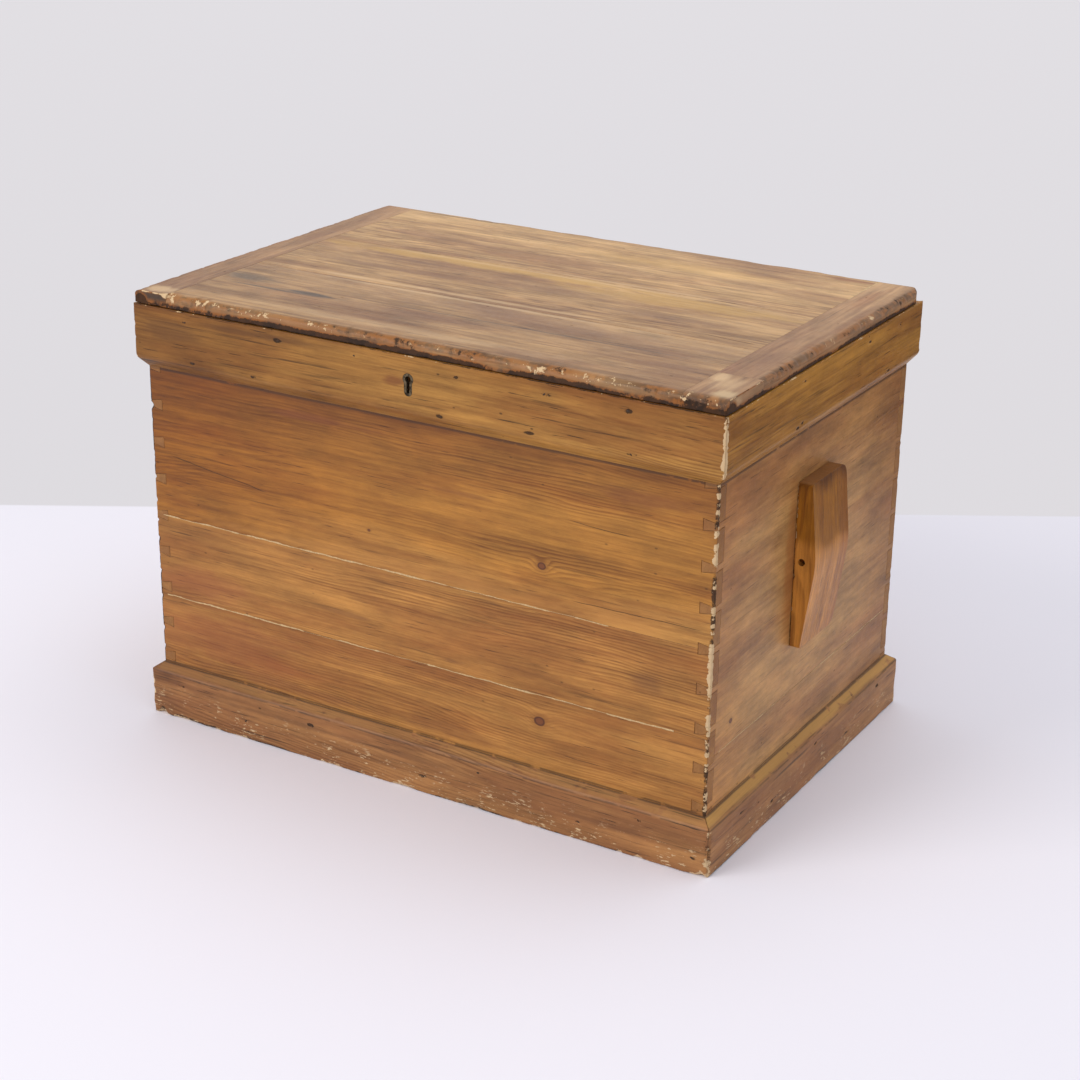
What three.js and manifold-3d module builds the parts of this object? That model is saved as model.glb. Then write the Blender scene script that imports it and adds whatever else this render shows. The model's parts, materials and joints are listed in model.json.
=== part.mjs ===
// Tool chest of pine boards: a dovetailed case with a skirt round its top and a plinth
// round its foot, a clamped lid on two butt hinges, a box lock and two rope cleats.
// Millimetres, +Z up. The front faces -Y, and the origin is on the floor under the middle.

import * as THREE from 'three';
import { mergeVertices } from 'three/addons/utils/BufferGeometryUtils.js';
import Module from 'manifold-3d';

const wasm = await Module();
wasm.setup();

// Case
const caseWidth = 900;
const caseDepth = 600;
const caseHeight = 632;
const boardThickness = 20;
// Heights of the glued joints between boards, as shares of the case height
const frontJointShares = [0.302, 0.5];
const backJointShares = [0.344, 0.656];
const sideJointShares = [0.255];

// Dovetails: narrow pins on the side boards between wide tails on the front and back
const pinCount = 11;
const pinEdgeDistance = 36;
const pinNarrowWidth = 9;
const pinSlopeShare = 1 / 6;

// Floor of the case: boards from front to back on two fillets
const filletLift = 6;
const filletSize = 22;
const floorThickness = 16;
const floorBoardCount = 6;
const floorTongueLength = 6;
const floorTongueThickness = 5;

// Skirt round the top of the case
const skirtThickness = 12.5;
const skirtHeight = 92;
const skirtBevelHeight = 15;
const skirtEase = 5;

// Plinth round the foot of the case
const plinthThickness = 15;
const plinthHeight = 81;
const plinthBevelHeight = 11;
const plinthEase = 4;

// Lid: boards from end to end, held flat by a tongued clamp at each end
const lidGap = 0.8;
const lidThickness = 19.2;
const lidOverhang = 11;
const lidJointShares = [0.341, 0.641];
const lidNoseRadius = 9;
const lidFrontCornerRadius = 4;
const lidBackCornerRadius = 20;
const leftClampWidth = 57;
const rightClampWidth = 63;
const clampRepairLength = 100;
const clampTongueLength = 10;
const clampTongueThickness = 6.4;
const clampTongueHaunch = 22;
// How far past upright the lid leans before its back edge lands on the skirt
const lidLeanDegrees = 7;

// Butt hinges, let in flush, with the pin a little behind the back boards
const hingeAxisSetback = 4;
const hingeEndDistance = 170;
const hingeLength = 76;
const leafWidth = 22;
const leafThickness = 2.4;
const knuckleRadius = 5;
const knuckleCount = 5;
const hingePinRadius = 2.4;
const hingePinClearance = 0.2;
const hingePinStandOut = 1;
const hingePinChamfer = 0.6;

// Box lock inside the front, with its link plate in the lid
const lockHalfWidth = 48;
const lockHeight = 61.5;
const lockDepth = 14;
const lockWall = 1.6;
const lockTopPlateHalfWidth = 56;
const lockTopPlateThickness = 2.5;
const lockTopPlateLap = 11;
const lockSlotClearance = 1;
const linkPlateHalfWidth = 42;
const linkPlateThickness = 2.5;
const linkPlateDepth = 16;
const staplePitch = 44;
const stapleThickness = 3;
const stapleDepth = 9;
const stapleLength = 20;
const stapleWallThickness = 2.2;
const boltThickness = 3.6;
const boltBarHeight = 6;
const boltBarDrop = 22;
const boltPostWidth = 5;
const boltFingerLength = 7;
const boltFingerHeight = 4.4;
const boltRestDistance = 1.5;
const boltTailLength = 4;
const guideBlockLength = 10;
const guideBlockHeight = 3;

// Keyhole, with a brass ring let in round it
const keyholeDrop = 32;
const keyholeHeadRadius = 4.5;
const keyholeSlotHalfWidth = 2.4;
const keyholeSlotLength = 17;
const keyRingWall = 3.5;
const keyRingDepth = 6;

// Rope cleats on the two ends, drilled through for a rope handle that is missing
const cleatLength = 109;
const cleatHeight = 238;
const cleatDrop = 70;
const cleatSetForward = 8.5;
const cleatTopDepth = 21;
const cleatRidgeDepth = 32;
const cleatBottomDepth = 15;
const cleatRidgeShare = 0.53;
const cleatRidgeEaseShare = 0.16;
const cleatFrontCornerRadius = 5;
const cleatBackCornerRadius = 14;
const ropeHoleRadius = 5;
const ropeHoleSetOff = 11;

// Clearances and overruns
const jointGap = 0.3;
const cutOverrun = 5;

// Steps in a quarter turn of a curved outline
const arcSteps = 6;

// Sizes that follow from the ones above
const halfWidth = caseWidth / 2;
const halfDepth = caseDepth / 2;
const innerHalfWidth = halfWidth - boardThickness;
const innerHalfDepth = halfDepth - boardThickness;
const lidBottom = caseHeight + lidGap;
const lidTop = lidBottom + lidThickness;
const lidHalfWidth = halfWidth + lidOverhang;
const lidFront = -halfDepth - lidOverhang;
const lidBack = halfDepth + hingeAxisSetback;
const hingeAxisHeight = caseHeight + lidGap / 2;
const hingeAxisY = lidBack;
const lockBackY = -innerHalfDepth + lockDepth;
const lockTop = caseHeight - lockTopPlateThickness;
const lockBottom = lockTop - lockHeight;
const stapleY = -innerHalfDepth + lockDepth / 2;
const keyholeHeight = caseHeight - keyholeDrop;
const cleatLift = caseHeight - skirtHeight - cleatDrop - cleatHeight;

function pine(color, roughness) {
  return { color, roughness, metalness: 0 };
}

const finishes = {
  caseFront: pine(0xa86f3a, 0.42),
  caseSide: pine(0xa07d5e, 0.45),
  skirt: pine(0xa06d37, 0.4),
  plinth: pine(0x96683f, 0.55),
  lid: pine(0xba9c7e, 0.5),
  clamp: pine(0xb4926f, 0.5),
  cleat: pine(0xa5672c, 0.4),
  rawPine: pine(0xb08c5e, 0.75),
  iron: { color: 0x3a332d, roughness: 0.6, metalness: 0.85 },
  brass: { color: 0x7d6436, roughness: 0.45, metalness: 0.9 },
};

// Where the two coordinates of an outline and the run of its prism go for each axis
const placings = {
  x: (a, b, run) => [run, a, b],
  y: (a, b, run) => [a, run, b],
  z: (a, b, run) => [a, b, run],
};

// A straight prism along an axis. The outline is in Y and Z, X and Z or X and Y.
function prism(axis, outline, from, to) {
  const geometry = new THREE.ExtrudeGeometry(outline, {
    depth: 1,
    bevelEnabled: false,
    curveSegments: arcSteps,
  });
  const [near, far] = axis === 'y' ? [to, from] : [from, to];
  const points = geometry.getAttribute('position');
  for (let i = 0; i < points.count; i++) {
    const run = points.getZ(i) > 0 ? far : near;
    points.setXYZ(i, ...placings[axis](points.getX(i), points.getY(i), run));
  }
  return solidOf(geometry);
}

function polygon(points) {
  return new THREE.Shape(points.map(([a, b]) => new THREE.Vector2(a, b)));
}

function rectangle(a0, a1, b0, b1) {
  return polygon([[a0, b0], [a1, b0], [a1, b1], [a0, b1]]);
}

function disc(a, b, radius) {
  const outline = new THREE.Shape();
  outline.absarc(a, b, radius, 0, 2 * Math.PI, false);
  return new THREE.Shape(outline.getPoints(4 * arcSteps).slice(0, -1));
}

function box([x0, x1], [y0, y1], [z0, z1]) {
  return prism('z', rectangle(x0, x1, y0, y1), z0, z1);
}

function solidOf(geometry) {
  const bare = geometry.clone();
  bare.deleteAttribute('normal');
  bare.deleteAttribute('uv');
  const merged = mergeVertices(bare);
  return new wasm.Manifold(new wasm.Mesh({
    numProp: 3,
    vertProperties: merged.getAttribute('position').array,
    triVerts: Uint32Array.from(merged.index.array),
  }));
}

function geometryOf(solid) {
  const mesh = solid.getMesh();
  const geometry = new THREE.BufferGeometry();
  geometry.setAttribute('position', new THREE.BufferAttribute(mesh.vertProperties, 3));
  geometry.setIndex(new THREE.BufferAttribute(mesh.triVerts, 1));
  const faceted = geometry.toNonIndexed();
  faceted.computeVertexNormals();
  return faceted;
}

function union(solids) {
  return solids.reduce((whole, solid) => whole.add(solid));
}

function piece(name, solid, finish) {
  const mesh = new THREE.Mesh(geometryOf(solid), new THREE.MeshStandardMaterial(finish));
  mesh.name = name;
  return mesh;
}

// Splits a panel along one axis at the given places and names the slices in order
function slices(panel, axis, places, names, finish) {
  const reach = caseWidth + caseDepth + caseHeight;
  const edges = [-reach, ...places, reach];
  return names.map((name, i) => {
    const spans = { x: [-reach, reach], y: [-reach, reach], z: [-reach, reach] };
    spans[axis] = [edges[i], edges[i + 1]];
    return piece(name, panel.intersect(box(spans.x, spans.y, spans.z)), finish);
  });
}

const jointHeights = (shares) => shares.map((share) => share * caseHeight);

// One pin as a prism from front to back: narrow at the outer face of the side board and
// wide at its inner face. A cutter for the tails is larger all round and runs past them.
function dovetailPin(height, side, gap, overrun) {
  const outer = halfWidth + overrun;
  const inner = innerHalfWidth - gap;
  const outerHalf = pinNarrowWidth / 2 - overrun * pinSlopeShare + gap;
  const innerHalf = pinNarrowWidth / 2 + (boardThickness + gap) * pinSlopeShare + gap;
  const outline = polygon([
    [side * outer, height - side * outerHalf],
    [side * outer, height + side * outerHalf],
    [side * inner, height + side * innerHalf],
    [side * inner, height - side * innerHalf],
  ]);
  return prism('y', outline, -halfDepth - overrun, halfDepth + overrun);
}

function dovetailPins(side, gap, overrun) {
  const pitch = (caseHeight - 2 * pinEdgeDistance) / (pinCount - 1);
  const pins = [];
  for (let i = 0; i < pinCount; i++) {
    pins.push(dovetailPin(pinEdgeDistance + i * pitch, side, gap, overrun));
  }
  return union(pins);
}

// A front or back panel with tails at both ends
function tailPanel(y0, y1) {
  return box([-halfWidth, halfWidth], [y0, y1], [0, caseHeight])
    .subtract(dovetailPins(-1, jointGap, cutOverrun))
    .subtract(dovetailPins(1, jointGap, cutOverrun));
}

// A side panel with pins that reach through the front and back panels
function pinPanel(side) {
  const faces = [side * innerHalfWidth, side * halfWidth].sort((a, b) => a - b);
  const board = box(faces, [-innerHalfDepth, innerHalfDepth], [0, caseHeight]);
  return board.add(dovetailPins(side, 0, 0));
}

function caseBoards() {
  const front = tailPanel(-halfDepth, -innerHalfDepth)
    .subtract(keyholeCutter(0, -halfDepth - cutOverrun, -innerHalfDepth + cutOverrun))
    .subtract(lockTopPlateMortise());
  const back = tailPanel(innerHalfDepth, halfDepth).subtract(caseHingeMortises());
  const names = (side, parts) => parts.map((part) => `case_${side}_board_${part}`);
  const three = ['lower', 'middle', 'upper'];
  const two = ['lower', 'upper'];
  const { caseFront, caseSide } = finishes;
  return [
    ...slices(front, 'z', jointHeights(frontJointShares), names('front', three), caseFront),
    ...slices(back, 'z', jointHeights(backJointShares), names('back', three), caseFront),
    ...slices(pinPanel(-1), 'z', jointHeights(sideJointShares), names('left', two), caseSide),
    ...slices(pinPanel(1), 'z', jointHeights(sideJointShares), names('right', two), caseSide),
  ];
}

// One floor board: a tongue on its right edge and a groove in its left one
function floorBoard(x0, x1, hasGroove, hasTongue) {
  const z0 = filletLift + filletSize;
  const z1 = z0 + floorThickness;
  const middle = (z0 + z1) / 2;
  const half = floorTongueThickness / 2;
  const run = [-innerHalfDepth, innerHalfDepth];
  let board = box([x0, x1], run, [z0, z1]);
  if (hasTongue) {
    board = board.add(box([x1 - half, x1 + floorTongueLength], run, [middle - half, middle + half]));
  }
  if (hasGroove) {
    const groove = half + jointGap;
    board = board.subtract(box(
      [x0 - cutOverrun, x0 + floorTongueLength + jointGap],
      [run[0] - cutOverrun, run[1] + cutOverrun],
      [middle - groove, middle + groove],
    ));
  }
  return board;
}

function floorPieces() {
  const boardWidth = 2 * innerHalfWidth / floorBoardCount;
  const pieces = [];
  for (let i = 0; i < floorBoardCount; i++) {
    const x0 = -innerHalfWidth + i * boardWidth;
    const board = floorBoard(x0, x0 + boardWidth, i > 0, i < floorBoardCount - 1);
    pieces.push(piece(`floor_board_${i + 1}`, board, finishes.rawPine));
  }
  const run = [-innerHalfWidth, innerHalfWidth];
  const rise = [filletLift, filletLift + filletSize];
  const front = box(run, [-innerHalfDepth, -innerHalfDepth + filletSize], rise);
  const back = box(run, [innerHalfDepth - filletSize, innerHalfDepth], rise);
  pieces.push(piece('floor_fillet_front', front, finishes.rawPine));
  pieces.push(piece('floor_fillet_back', back, finishes.rawPine));
  return pieces;
}

// The corner of a rail's profile eased to a curve, from ease before it to ease after it
function easedCorner(before, corner, after, ease) {
  const [a, b, c] = [before, corner, after].map(([out, up]) => new THREE.Vector2(out, up));
  const start = b.clone().add(a.sub(b).setLength(ease));
  const end = b.clone().add(c.sub(b).setLength(ease));
  const curve = new THREE.QuadraticBezierCurve(start, b, end);
  return curve.getPoints(arcSteps).map((point) => [point.x, point.y]);
}

// A rail round one side of the case, mitred at both ends. The profile is in distance out
// from the case and height, and quarter is the number of quarter turns from the front.
function mitredRail(profile, quarter) {
  const alongX = quarter % 2 === 0;
  const halfRun = alongX ? halfWidth : halfDepth;
  const setOut = alongX ? halfDepth : halfWidth;
  const outline = new THREE.Shape(profile.map(([out, up]) => new THREE.Vector2(out, up)));
  const geometry = new THREE.ExtrudeGeometry(outline, { depth: 1, bevelEnabled: false });
  const points = geometry.getAttribute('position');
  const turns = [[1, 0], [0, 1], [-1, 0], [0, -1]];
  const [cos, sin] = turns[quarter];
  for (let i = 0; i < points.count; i++) {
    const out = points.getX(i);
    const end = points.getZ(i) > 0 ? -1 : 1;
    const along = end * (halfRun + out - jointGap);
    const across = -setOut - out;
    points.setXYZ(i, cos * along - sin * across, sin * along + cos * across, points.getY(i));
  }
  return solidOf(geometry);
}

const railSides = ['front', 'right', 'back', 'left'];

// The back skirt's top falls away outwards, so the open lid's back edge lands flat on it
function skirtProfile(side) {
  const lean = THREE.MathUtils.degToRad(lidLeanDegrees);
  const fall = side === 'back' ? skirtThickness * Math.tan(lean) : 0;
  const foot = [0, caseHeight - skirtHeight];
  const arris = [skirtThickness, caseHeight - skirtHeight + skirtBevelHeight];
  const rim = [skirtThickness, caseHeight - fall];
  return [foot, ...easedCorner(foot, arris, rim, skirtEase), rim, [0, caseHeight]];
}

function plinthProfile() {
  const foot = [plinthThickness, 0];
  const arris = [plinthThickness, plinthHeight - plinthBevelHeight];
  const top = [0, plinthHeight];
  return [[0, 0], foot, ...easedCorner(foot, arris, top, plinthEase), top];
}

function rails() {
  const pieces = [];
  railSides.forEach((side, quarter) => {
    let skirt = mitredRail(skirtProfile(side), quarter);
    if (side === 'front') {
      const face = -halfDepth - skirtThickness;
      skirt = skirt
        .subtract(keyholeCutter(0, face - cutOverrun, -halfDepth + cutOverrun))
        .subtract(keyholeCutter(keyRingWall + jointGap, face - cutOverrun, face + keyRingDepth));
    }
    if (side === 'back') {
      skirt = skirt.subtract(knuckleChannels());
    }
    pieces.push(piece(`skirt_${side}`, skirt, finishes.skirt));
    pieces.push(piece(`plinth_${side}`, mitredRail(plinthProfile(), quarter), finishes.plinth));
  });
  return pieces;
}

// A round head over a narrower slot, grown outwards by a wall or a gap
function keyholeOutline(grow) {
  const radius = keyholeHeadRadius + grow;
  const half = keyholeSlotHalfWidth + grow;
  const angle = Math.asin(half / radius);
  const foot = keyholeHeight - keyholeSlotLength;
  const outline = new THREE.Shape();
  outline.absarc(0, foot, half, Math.PI, 2 * Math.PI, false);
  outline.absarc(0, keyholeHeight, radius, angle - Math.PI / 2, 1.5 * Math.PI - angle, false);
  return outline;
}

function keyholeCutter(grow, y0, y1) {
  return prism('y', keyholeOutline(grow), y0, y1);
}

function keyRing() {
  const face = -halfDepth - skirtThickness;
  const ring = prism('y', keyholeOutline(keyRingWall), face, face + keyRingDepth)
    .subtract(keyholeCutter(0, face - cutOverrun, face + keyRingDepth + cutOverrun));
  return [piece('keyhole_ring', ring, finishes.brass)];
}

// Side profile of a cleat: a back flat on the case and a ridge rounded over near its middle
function cleatProfile() {
  const ridge = cleatHeight * cleatRidgeShare;
  const profile = new THREE.Shape();
  profile.moveTo(0, 0);
  profile.lineTo(cleatBottomDepth, 0);
  profile.lineTo(
    THREE.MathUtils.lerp(cleatRidgeDepth, cleatBottomDepth, cleatRidgeEaseShare),
    ridge * (1 - cleatRidgeEaseShare),
  );
  profile.quadraticCurveTo(
    cleatRidgeDepth, ridge,
    THREE.MathUtils.lerp(cleatRidgeDepth, cleatTopDepth, cleatRidgeEaseShare),
    THREE.MathUtils.lerp(ridge, cleatHeight, cleatRidgeEaseShare),
  );
  profile.lineTo(cleatTopDepth, cleatHeight);
  profile.lineTo(0, cleatHeight);
  return profile;
}

// Outline of a cleat seen square on: a rectangle with rounded corners
function cleatOutline(front, back) {
  return roundedRectangle(
    [-cleatLength / 2, cleatLength / 2],
    [0, cleatHeight],
    [front, back, back, front],
  );
}

// Corner radii in order from the lowest corner of both spans, anticlockwise
function roundedRectangle([a0, a1], [b0, b1], [r0, r1, r2, r3]) {
  const outline = new THREE.Shape();
  outline.absarc(a0 + r0, b0 + r0, r0, Math.PI, 1.5 * Math.PI, false);
  outline.absarc(a1 - r1, b0 + r1, r1, -0.5 * Math.PI, 0, false);
  outline.absarc(a1 - r2, b1 - r2, r2, 0, 0.5 * Math.PI, false);
  outline.absarc(a0 + r3, b1 - r3, r3, 0.5 * Math.PI, Math.PI, false);
  return outline;
}

function ropeCleats() {
  const body = prism('y', cleatProfile(), -cleatLength / 2, cleatLength / 2);
  const hole = prism(
    'y',
    disc(ropeHoleSetOff, cleatHeight * cleatRidgeShare, ropeHoleRadius),
    -cleatLength / 2 - cutOverrun,
    cleatLength / 2 + cutOverrun,
  );
  const front = cleatFrontCornerRadius;
  const back = cleatBackCornerRadius;
  return [['right', 1, [front, back]], ['left', -1, [back, front]]].map(([name, side, radii]) => {
    const outline = prism('x', cleatOutline(...radii), -cutOverrun, cleatRidgeDepth + cutOverrun);
    const cleat = body.intersect(outline).subtract(hole);
    const mesh = piece(`rope_cleat_${name}`, cleat, finishes.cleat);
    mesh.position.set(side * (halfWidth + jointGap), -cleatSetForward, cleatLift);
    mesh.rotation.z = side > 0 ? 0 : Math.PI;
    return mesh;
  });
}

// The whole lid as one block: its plan with rounded corners, and a nosing along the
// edges that are rounded over
function lidBlank(noseFront, noseSides) {
  const f = lidFrontCornerRadius;
  const b = lidBackCornerRadius;
  const plan = roundedRectangle([-lidHalfWidth, lidHalfWidth], [lidFront, lidBack], [f, f, b, b]);
  let blank = prism('z', plan, lidBottom, lidTop);
  const reach = lidHalfWidth + cutOverrun;
  if (noseFront) {
    const side = nosedSection(lidFront, lidBack + cutOverrun, true, false);
    blank = blank.intersect(prism('x', side, -reach, reach));
  }
  if (noseSides) {
    const end = nosedSection(-lidHalfWidth, lidHalfWidth, true, true);
    blank = blank.intersect(prism('y', end, lidFront - cutOverrun, lidBack + cutOverrun));
  }
  return blank;
}

// A section through the lid with its top rounded over at either end
function nosedSection(a0, a1, noseStart, noseEnd) {
  const r = lidNoseRadius;
  const below = lidBottom - cutOverrun;
  const outline = new THREE.Shape();
  outline.moveTo(a0, below);
  outline.lineTo(a1, below);
  if (noseEnd) {
    outline.absarc(a1 - r, lidTop - r, r, 0, 0.5 * Math.PI, false);
  } else {
    outline.lineTo(a1, lidTop + cutOverrun);
  }
  if (noseStart) {
    outline.absarc(a0 + r, lidTop - r, r, 0.5 * Math.PI, Math.PI, false);
  } else {
    outline.lineTo(a0, lidTop + cutOverrun);
  }
  return outline;
}

// The tongue that runs the length of the boards into both clamps, grown by a gap
function lidTongue(gap) {
  const middle = (lidBottom + lidTop) / 2;
  const half = clampTongueThickness / 2 + gap;
  const reach = clampTongueLength + gap;
  return box(
    [-lidHalfWidth + leftClampWidth - reach, lidHalfWidth - rightClampWidth + reach],
    [lidFront + clampTongueHaunch - gap, lidBack - clampTongueHaunch + gap],
    [middle - half, middle + half],
  );
}

function lidPieces() {
  const leftJoint = -lidHalfWidth + leftClampWidth;
  const rightJoint = lidHalfWidth - rightClampWidth;
  const yRange = [lidFront - cutOverrun, lidBack + cutOverrun];
  const zRange = [lidBottom - cutOverrun, lidTop + cutOverrun];
  const panel = lidBlank(true, false)
    .intersect(box([leftJoint, rightJoint], yRange, zRange))
    .add(lidTongue(0))
    .subtract(lidHingeMortises())
    .subtract(linkPlateMortise());
  const joints = lidJointShares.map((share) => lidFront + share * (lidBack - lidFront));
  const boardNames = ['lid_board_front', 'lid_board_middle', 'lid_board_back'];

  const leftClamp = lidBlank(false, true)
    .intersect(box([-lidHalfWidth - cutOverrun, leftJoint], yRange, zRange))
    .subtract(lidTongue(jointGap));
  const rightSpan = [rightJoint, lidHalfWidth + cutOverrun];
  const repairBack = lidFront + clampRepairLength;
  const rightClamp = lidBlank(true, true)
    .intersect(box(rightSpan, [repairBack, yRange[1]], zRange))
    .subtract(lidTongue(jointGap));
  const repair = lidBlank(true, false)
    .intersect(box(rightSpan, [yRange[0], repairBack], zRange))
    .subtract(lidTongue(jointGap));

  return [
    ...slices(panel, 'y', joints, boardNames, finishes.lid),
    piece('lid_clamp_left', leftClamp, finishes.clamp),
    piece('lid_clamp_right', rightClamp, finishes.clamp),
    piece('lid_clamp_repair', repair, finishes.clamp),
  ];
}

const hingeXs = [-halfWidth + hingeEndDistance, halfWidth - hingeEndDistance];
const knuckleReach = hingeLength / 2 + hingePinStandOut + jointGap;

// Space round the knuckles, cut down into the skirt and back boards
function knuckleChannels() {
  return union(hingeXs.map((x) => box(
    [x - knuckleReach, x + knuckleReach],
    [hingeAxisY - knuckleRadius - jointGap, halfDepth + skirtThickness + cutOverrun],
    [hingeAxisHeight - knuckleRadius - jointGap, caseHeight + cutOverrun],
  )));
}

function caseHingeMortises() {
  const leaves = union(hingeXs.map((x) => box(
    [x - hingeLength / 2 - jointGap, x + hingeLength / 2 + jointGap],
    [hingeAxisY - leafWidth - jointGap, halfDepth + cutOverrun],
    [caseHeight - leafThickness, caseHeight + cutOverrun],
  )));
  return leaves.add(knuckleChannels());
}

function lidHingeMortises() {
  const leaves = hingeXs.map((x) => box(
    [x - hingeLength / 2 - jointGap, x + hingeLength / 2 + jointGap],
    [hingeAxisY - leafWidth - jointGap, lidBack + cutOverrun],
    [lidBottom - cutOverrun, lidBottom + leafThickness],
  ));
  const notches = hingeXs.map((x) => box(
    [x - knuckleReach, x + knuckleReach],
    [hingeAxisY - knuckleRadius - jointGap, lidBack + cutOverrun],
    [lidBottom - cutOverrun, hingeAxisHeight + knuckleRadius + jointGap],
  ));
  return union([...leaves, ...notches]);
}

// One leaf with its share of the knuckles. Every other knuckle belongs to the other leaf,
// and the leaf's plate is cut back clear of those.
function hingeLeaf(first, [z0, z1]) {
  const pitch = hingeLength / knuckleCount;
  const clearY = -knuckleRadius - jointGap;
  let leaf = box([-hingeLength / 2, hingeLength / 2], [-leafWidth, clearY], [z0, z1]);
  for (let i = first; i < knuckleCount; i += 2) {
    const start = -hingeLength / 2 + i * pitch + (i > 0 ? jointGap / 2 : 0);
    const end = -hingeLength / 2 + (i + 1) * pitch - (i < knuckleCount - 1 ? jointGap / 2 : 0);
    const tab = box([start, end], [clearY - leafThickness, 0], [z0, z1]);
    leaf = leaf.add(tab).add(prism('x', disc(0, 0, knuckleRadius), start, end));
  }
  const bore = disc(0, 0, hingePinRadius + hingePinClearance);
  return leaf.subtract(prism('x', bore, -hingeLength, hingeLength));
}

function hingePin() {
  const half = hingeLength / 2 + hingePinStandOut;
  const r = hingePinRadius;
  const c = hingePinChamfer;
  const profile = [[0, -half], [r - c, -half], [r, -half + c], [r, half - c], [r - c, half], [0, half]];
  const lathe = new THREE.LatheGeometry(
    profile.map(([radius, along]) => new THREE.Vector2(radius, along)),
    4 * arcSteps,
  );
  const alongX = new THREE.Matrix4().makeBasis(
    new THREE.Vector3(0, 1, 0),
    new THREE.Vector3(1, 0, 0),
    new THREE.Vector3(0, 0, -1),
  );
  return solidOf(lathe.applyMatrix4(alongX));
}

function hinges() {
  const halfGap = lidGap / 2;
  const pieces = { case: [], lid: [] };
  hingeXs.forEach((x, i) => {
    const side = i === 0 ? 'left' : 'right';
    const caseLeaf = hingeLeaf(0, [-halfGap - leafThickness, -halfGap]);
    const lidLeaf = hingeLeaf(1, [halfGap, halfGap + leafThickness]);
    pieces.case.push(piece(`hinge_${side}_case_leaf`, caseLeaf, finishes.iron));
    pieces.case.push(piece(`hinge_${side}_pin`, hingePin(), finishes.iron));
    pieces.lid.push(piece(`hinge_${side}_lid_leaf`, lidLeaf, finishes.iron));
    for (const mesh of [...pieces.case.slice(-2), ...pieces.lid.slice(-1)]) {
      mesh.position.set(x, hingeAxisY, hingeAxisHeight);
    }
  });
  return pieces;
}

function lockTopPlateMortise() {
  return box(
    [-lockTopPlateHalfWidth - jointGap, lockTopPlateHalfWidth + jointGap],
    [-innerHalfDepth - lockTopPlateLap - jointGap, -innerHalfDepth + cutOverrun],
    [lockTop, caseHeight + cutOverrun],
  );
}

function linkPlateMortise() {
  const half = linkPlateDepth / 2 + jointGap;
  return box(
    [-linkPlateHalfWidth - jointGap, linkPlateHalfWidth + jointGap],
    [stapleY - half, stapleY + half],
    [lidBottom - cutOverrun, lidBottom + linkPlateThickness],
  );
}

const stapleXs = [-staplePitch / 2, staplePitch / 2];
const boltBarBottom = lockTop - boltBarDrop - boltBarHeight;
const boltFingerMiddle = lidBottom - stapleLength + stapleWallThickness
  + boltFingerHeight / 2 + lockSlotClearance;

// Open towards the wood and on top, where the front board and the top plate close it.
// Two blocks on its back wall carry the bolt.
function lockCase() {
  const shell = box([-lockHalfWidth, lockHalfWidth], [-innerHalfDepth, lockBackY], [lockBottom, lockTop])
    .subtract(box(
      [-lockHalfWidth + lockWall, lockHalfWidth - lockWall],
      [-innerHalfDepth - cutOverrun, lockBackY - lockWall],
      [lockBottom + lockWall, lockTop + cutOverrun],
    ));
  const blocks = stapleXs.map((x) => box(
    [x - guideBlockLength / 2, x + guideBlockLength / 2],
    [-innerHalfDepth + lockWall, lockBackY],
    [boltBarBottom - jointGap - guideBlockHeight, boltBarBottom - jointGap],
  ));
  return union([shell, ...blocks]);
}

function lockTopPlate() {
  const plate = box(
    [-lockTopPlateHalfWidth, lockTopPlateHalfWidth],
    [-innerHalfDepth - lockTopPlateLap, lockBackY],
    [lockTop, caseHeight],
  );
  const halfThickness = stapleThickness / 2 + lockSlotClearance;
  const halfDepthOfSlot = stapleDepth / 2 + lockSlotClearance;
  const slots = stapleXs.map((x) => box(
    [x - halfThickness, x + halfThickness],
    [stapleY - halfDepthOfSlot, stapleY + halfDepthOfSlot],
    [lockTop - cutOverrun, caseHeight + cutOverrun],
  ));
  return plate.subtract(union(slots));
}

// The bolt: a bar with two posts, each with a finger that goes through a staple's eye
function lockBolt() {
  const fingerTips = stapleXs.map((x) => x - stapleThickness / 2 - boltRestDistance);
  const low = boltFingerMiddle - boltFingerHeight / 2;
  const high = boltFingerMiddle + boltFingerHeight / 2;
  const span = [stapleY - boltThickness / 2, stapleY + boltThickness / 2];
  const postLeft = (tip) => tip - boltFingerLength - boltPostWidth;
  const bar = box(
    [postLeft(fingerTips[0]), fingerTips[1] + boltTailLength],
    span,
    [boltBarBottom, boltBarBottom + boltBarHeight],
  );
  const arms = fingerTips.flatMap((tip) => [
    box([postLeft(tip), postLeft(tip) + boltPostWidth], span, [boltBarBottom, high]),
    box([postLeft(tip), tip], span, [low, high]),
  ]);
  return union([bar, ...arms]);
}

// The plate in the lid with two staples that drop into the lock
function linkPlate() {
  const plate = box(
    [-linkPlateHalfWidth, linkPlateHalfWidth],
    [stapleY - linkPlateDepth / 2, stapleY + linkPlateDepth / 2],
    [lidBottom, lidBottom + linkPlateThickness],
  );
  const staples = stapleXs.map((x) => box(
    [x - stapleThickness / 2, x + stapleThickness / 2],
    [stapleY - stapleDepth / 2, stapleY + stapleDepth / 2],
    [lidBottom - stapleLength, lidBottom + linkPlateThickness],
  ));
  const halfEye = stapleDepth / 2 - stapleWallThickness;
  const eyeBottom = lidBottom - stapleLength + stapleWallThickness;
  const eyes = stapleXs.map((x) => box(
    [x - stapleThickness, x + stapleThickness],
    [stapleY - halfEye, stapleY + halfEye],
    [eyeBottom, eyeBottom + boltFingerHeight + 2 * lockSlotClearance],
  ));
  return union([plate, ...staples]).subtract(union(eyes));
}

const chest = new THREE.Group();
const caseGroup = new THREE.Group();
const lidGroup = new THREE.Group();
const hingePieces = hinges();

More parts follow.
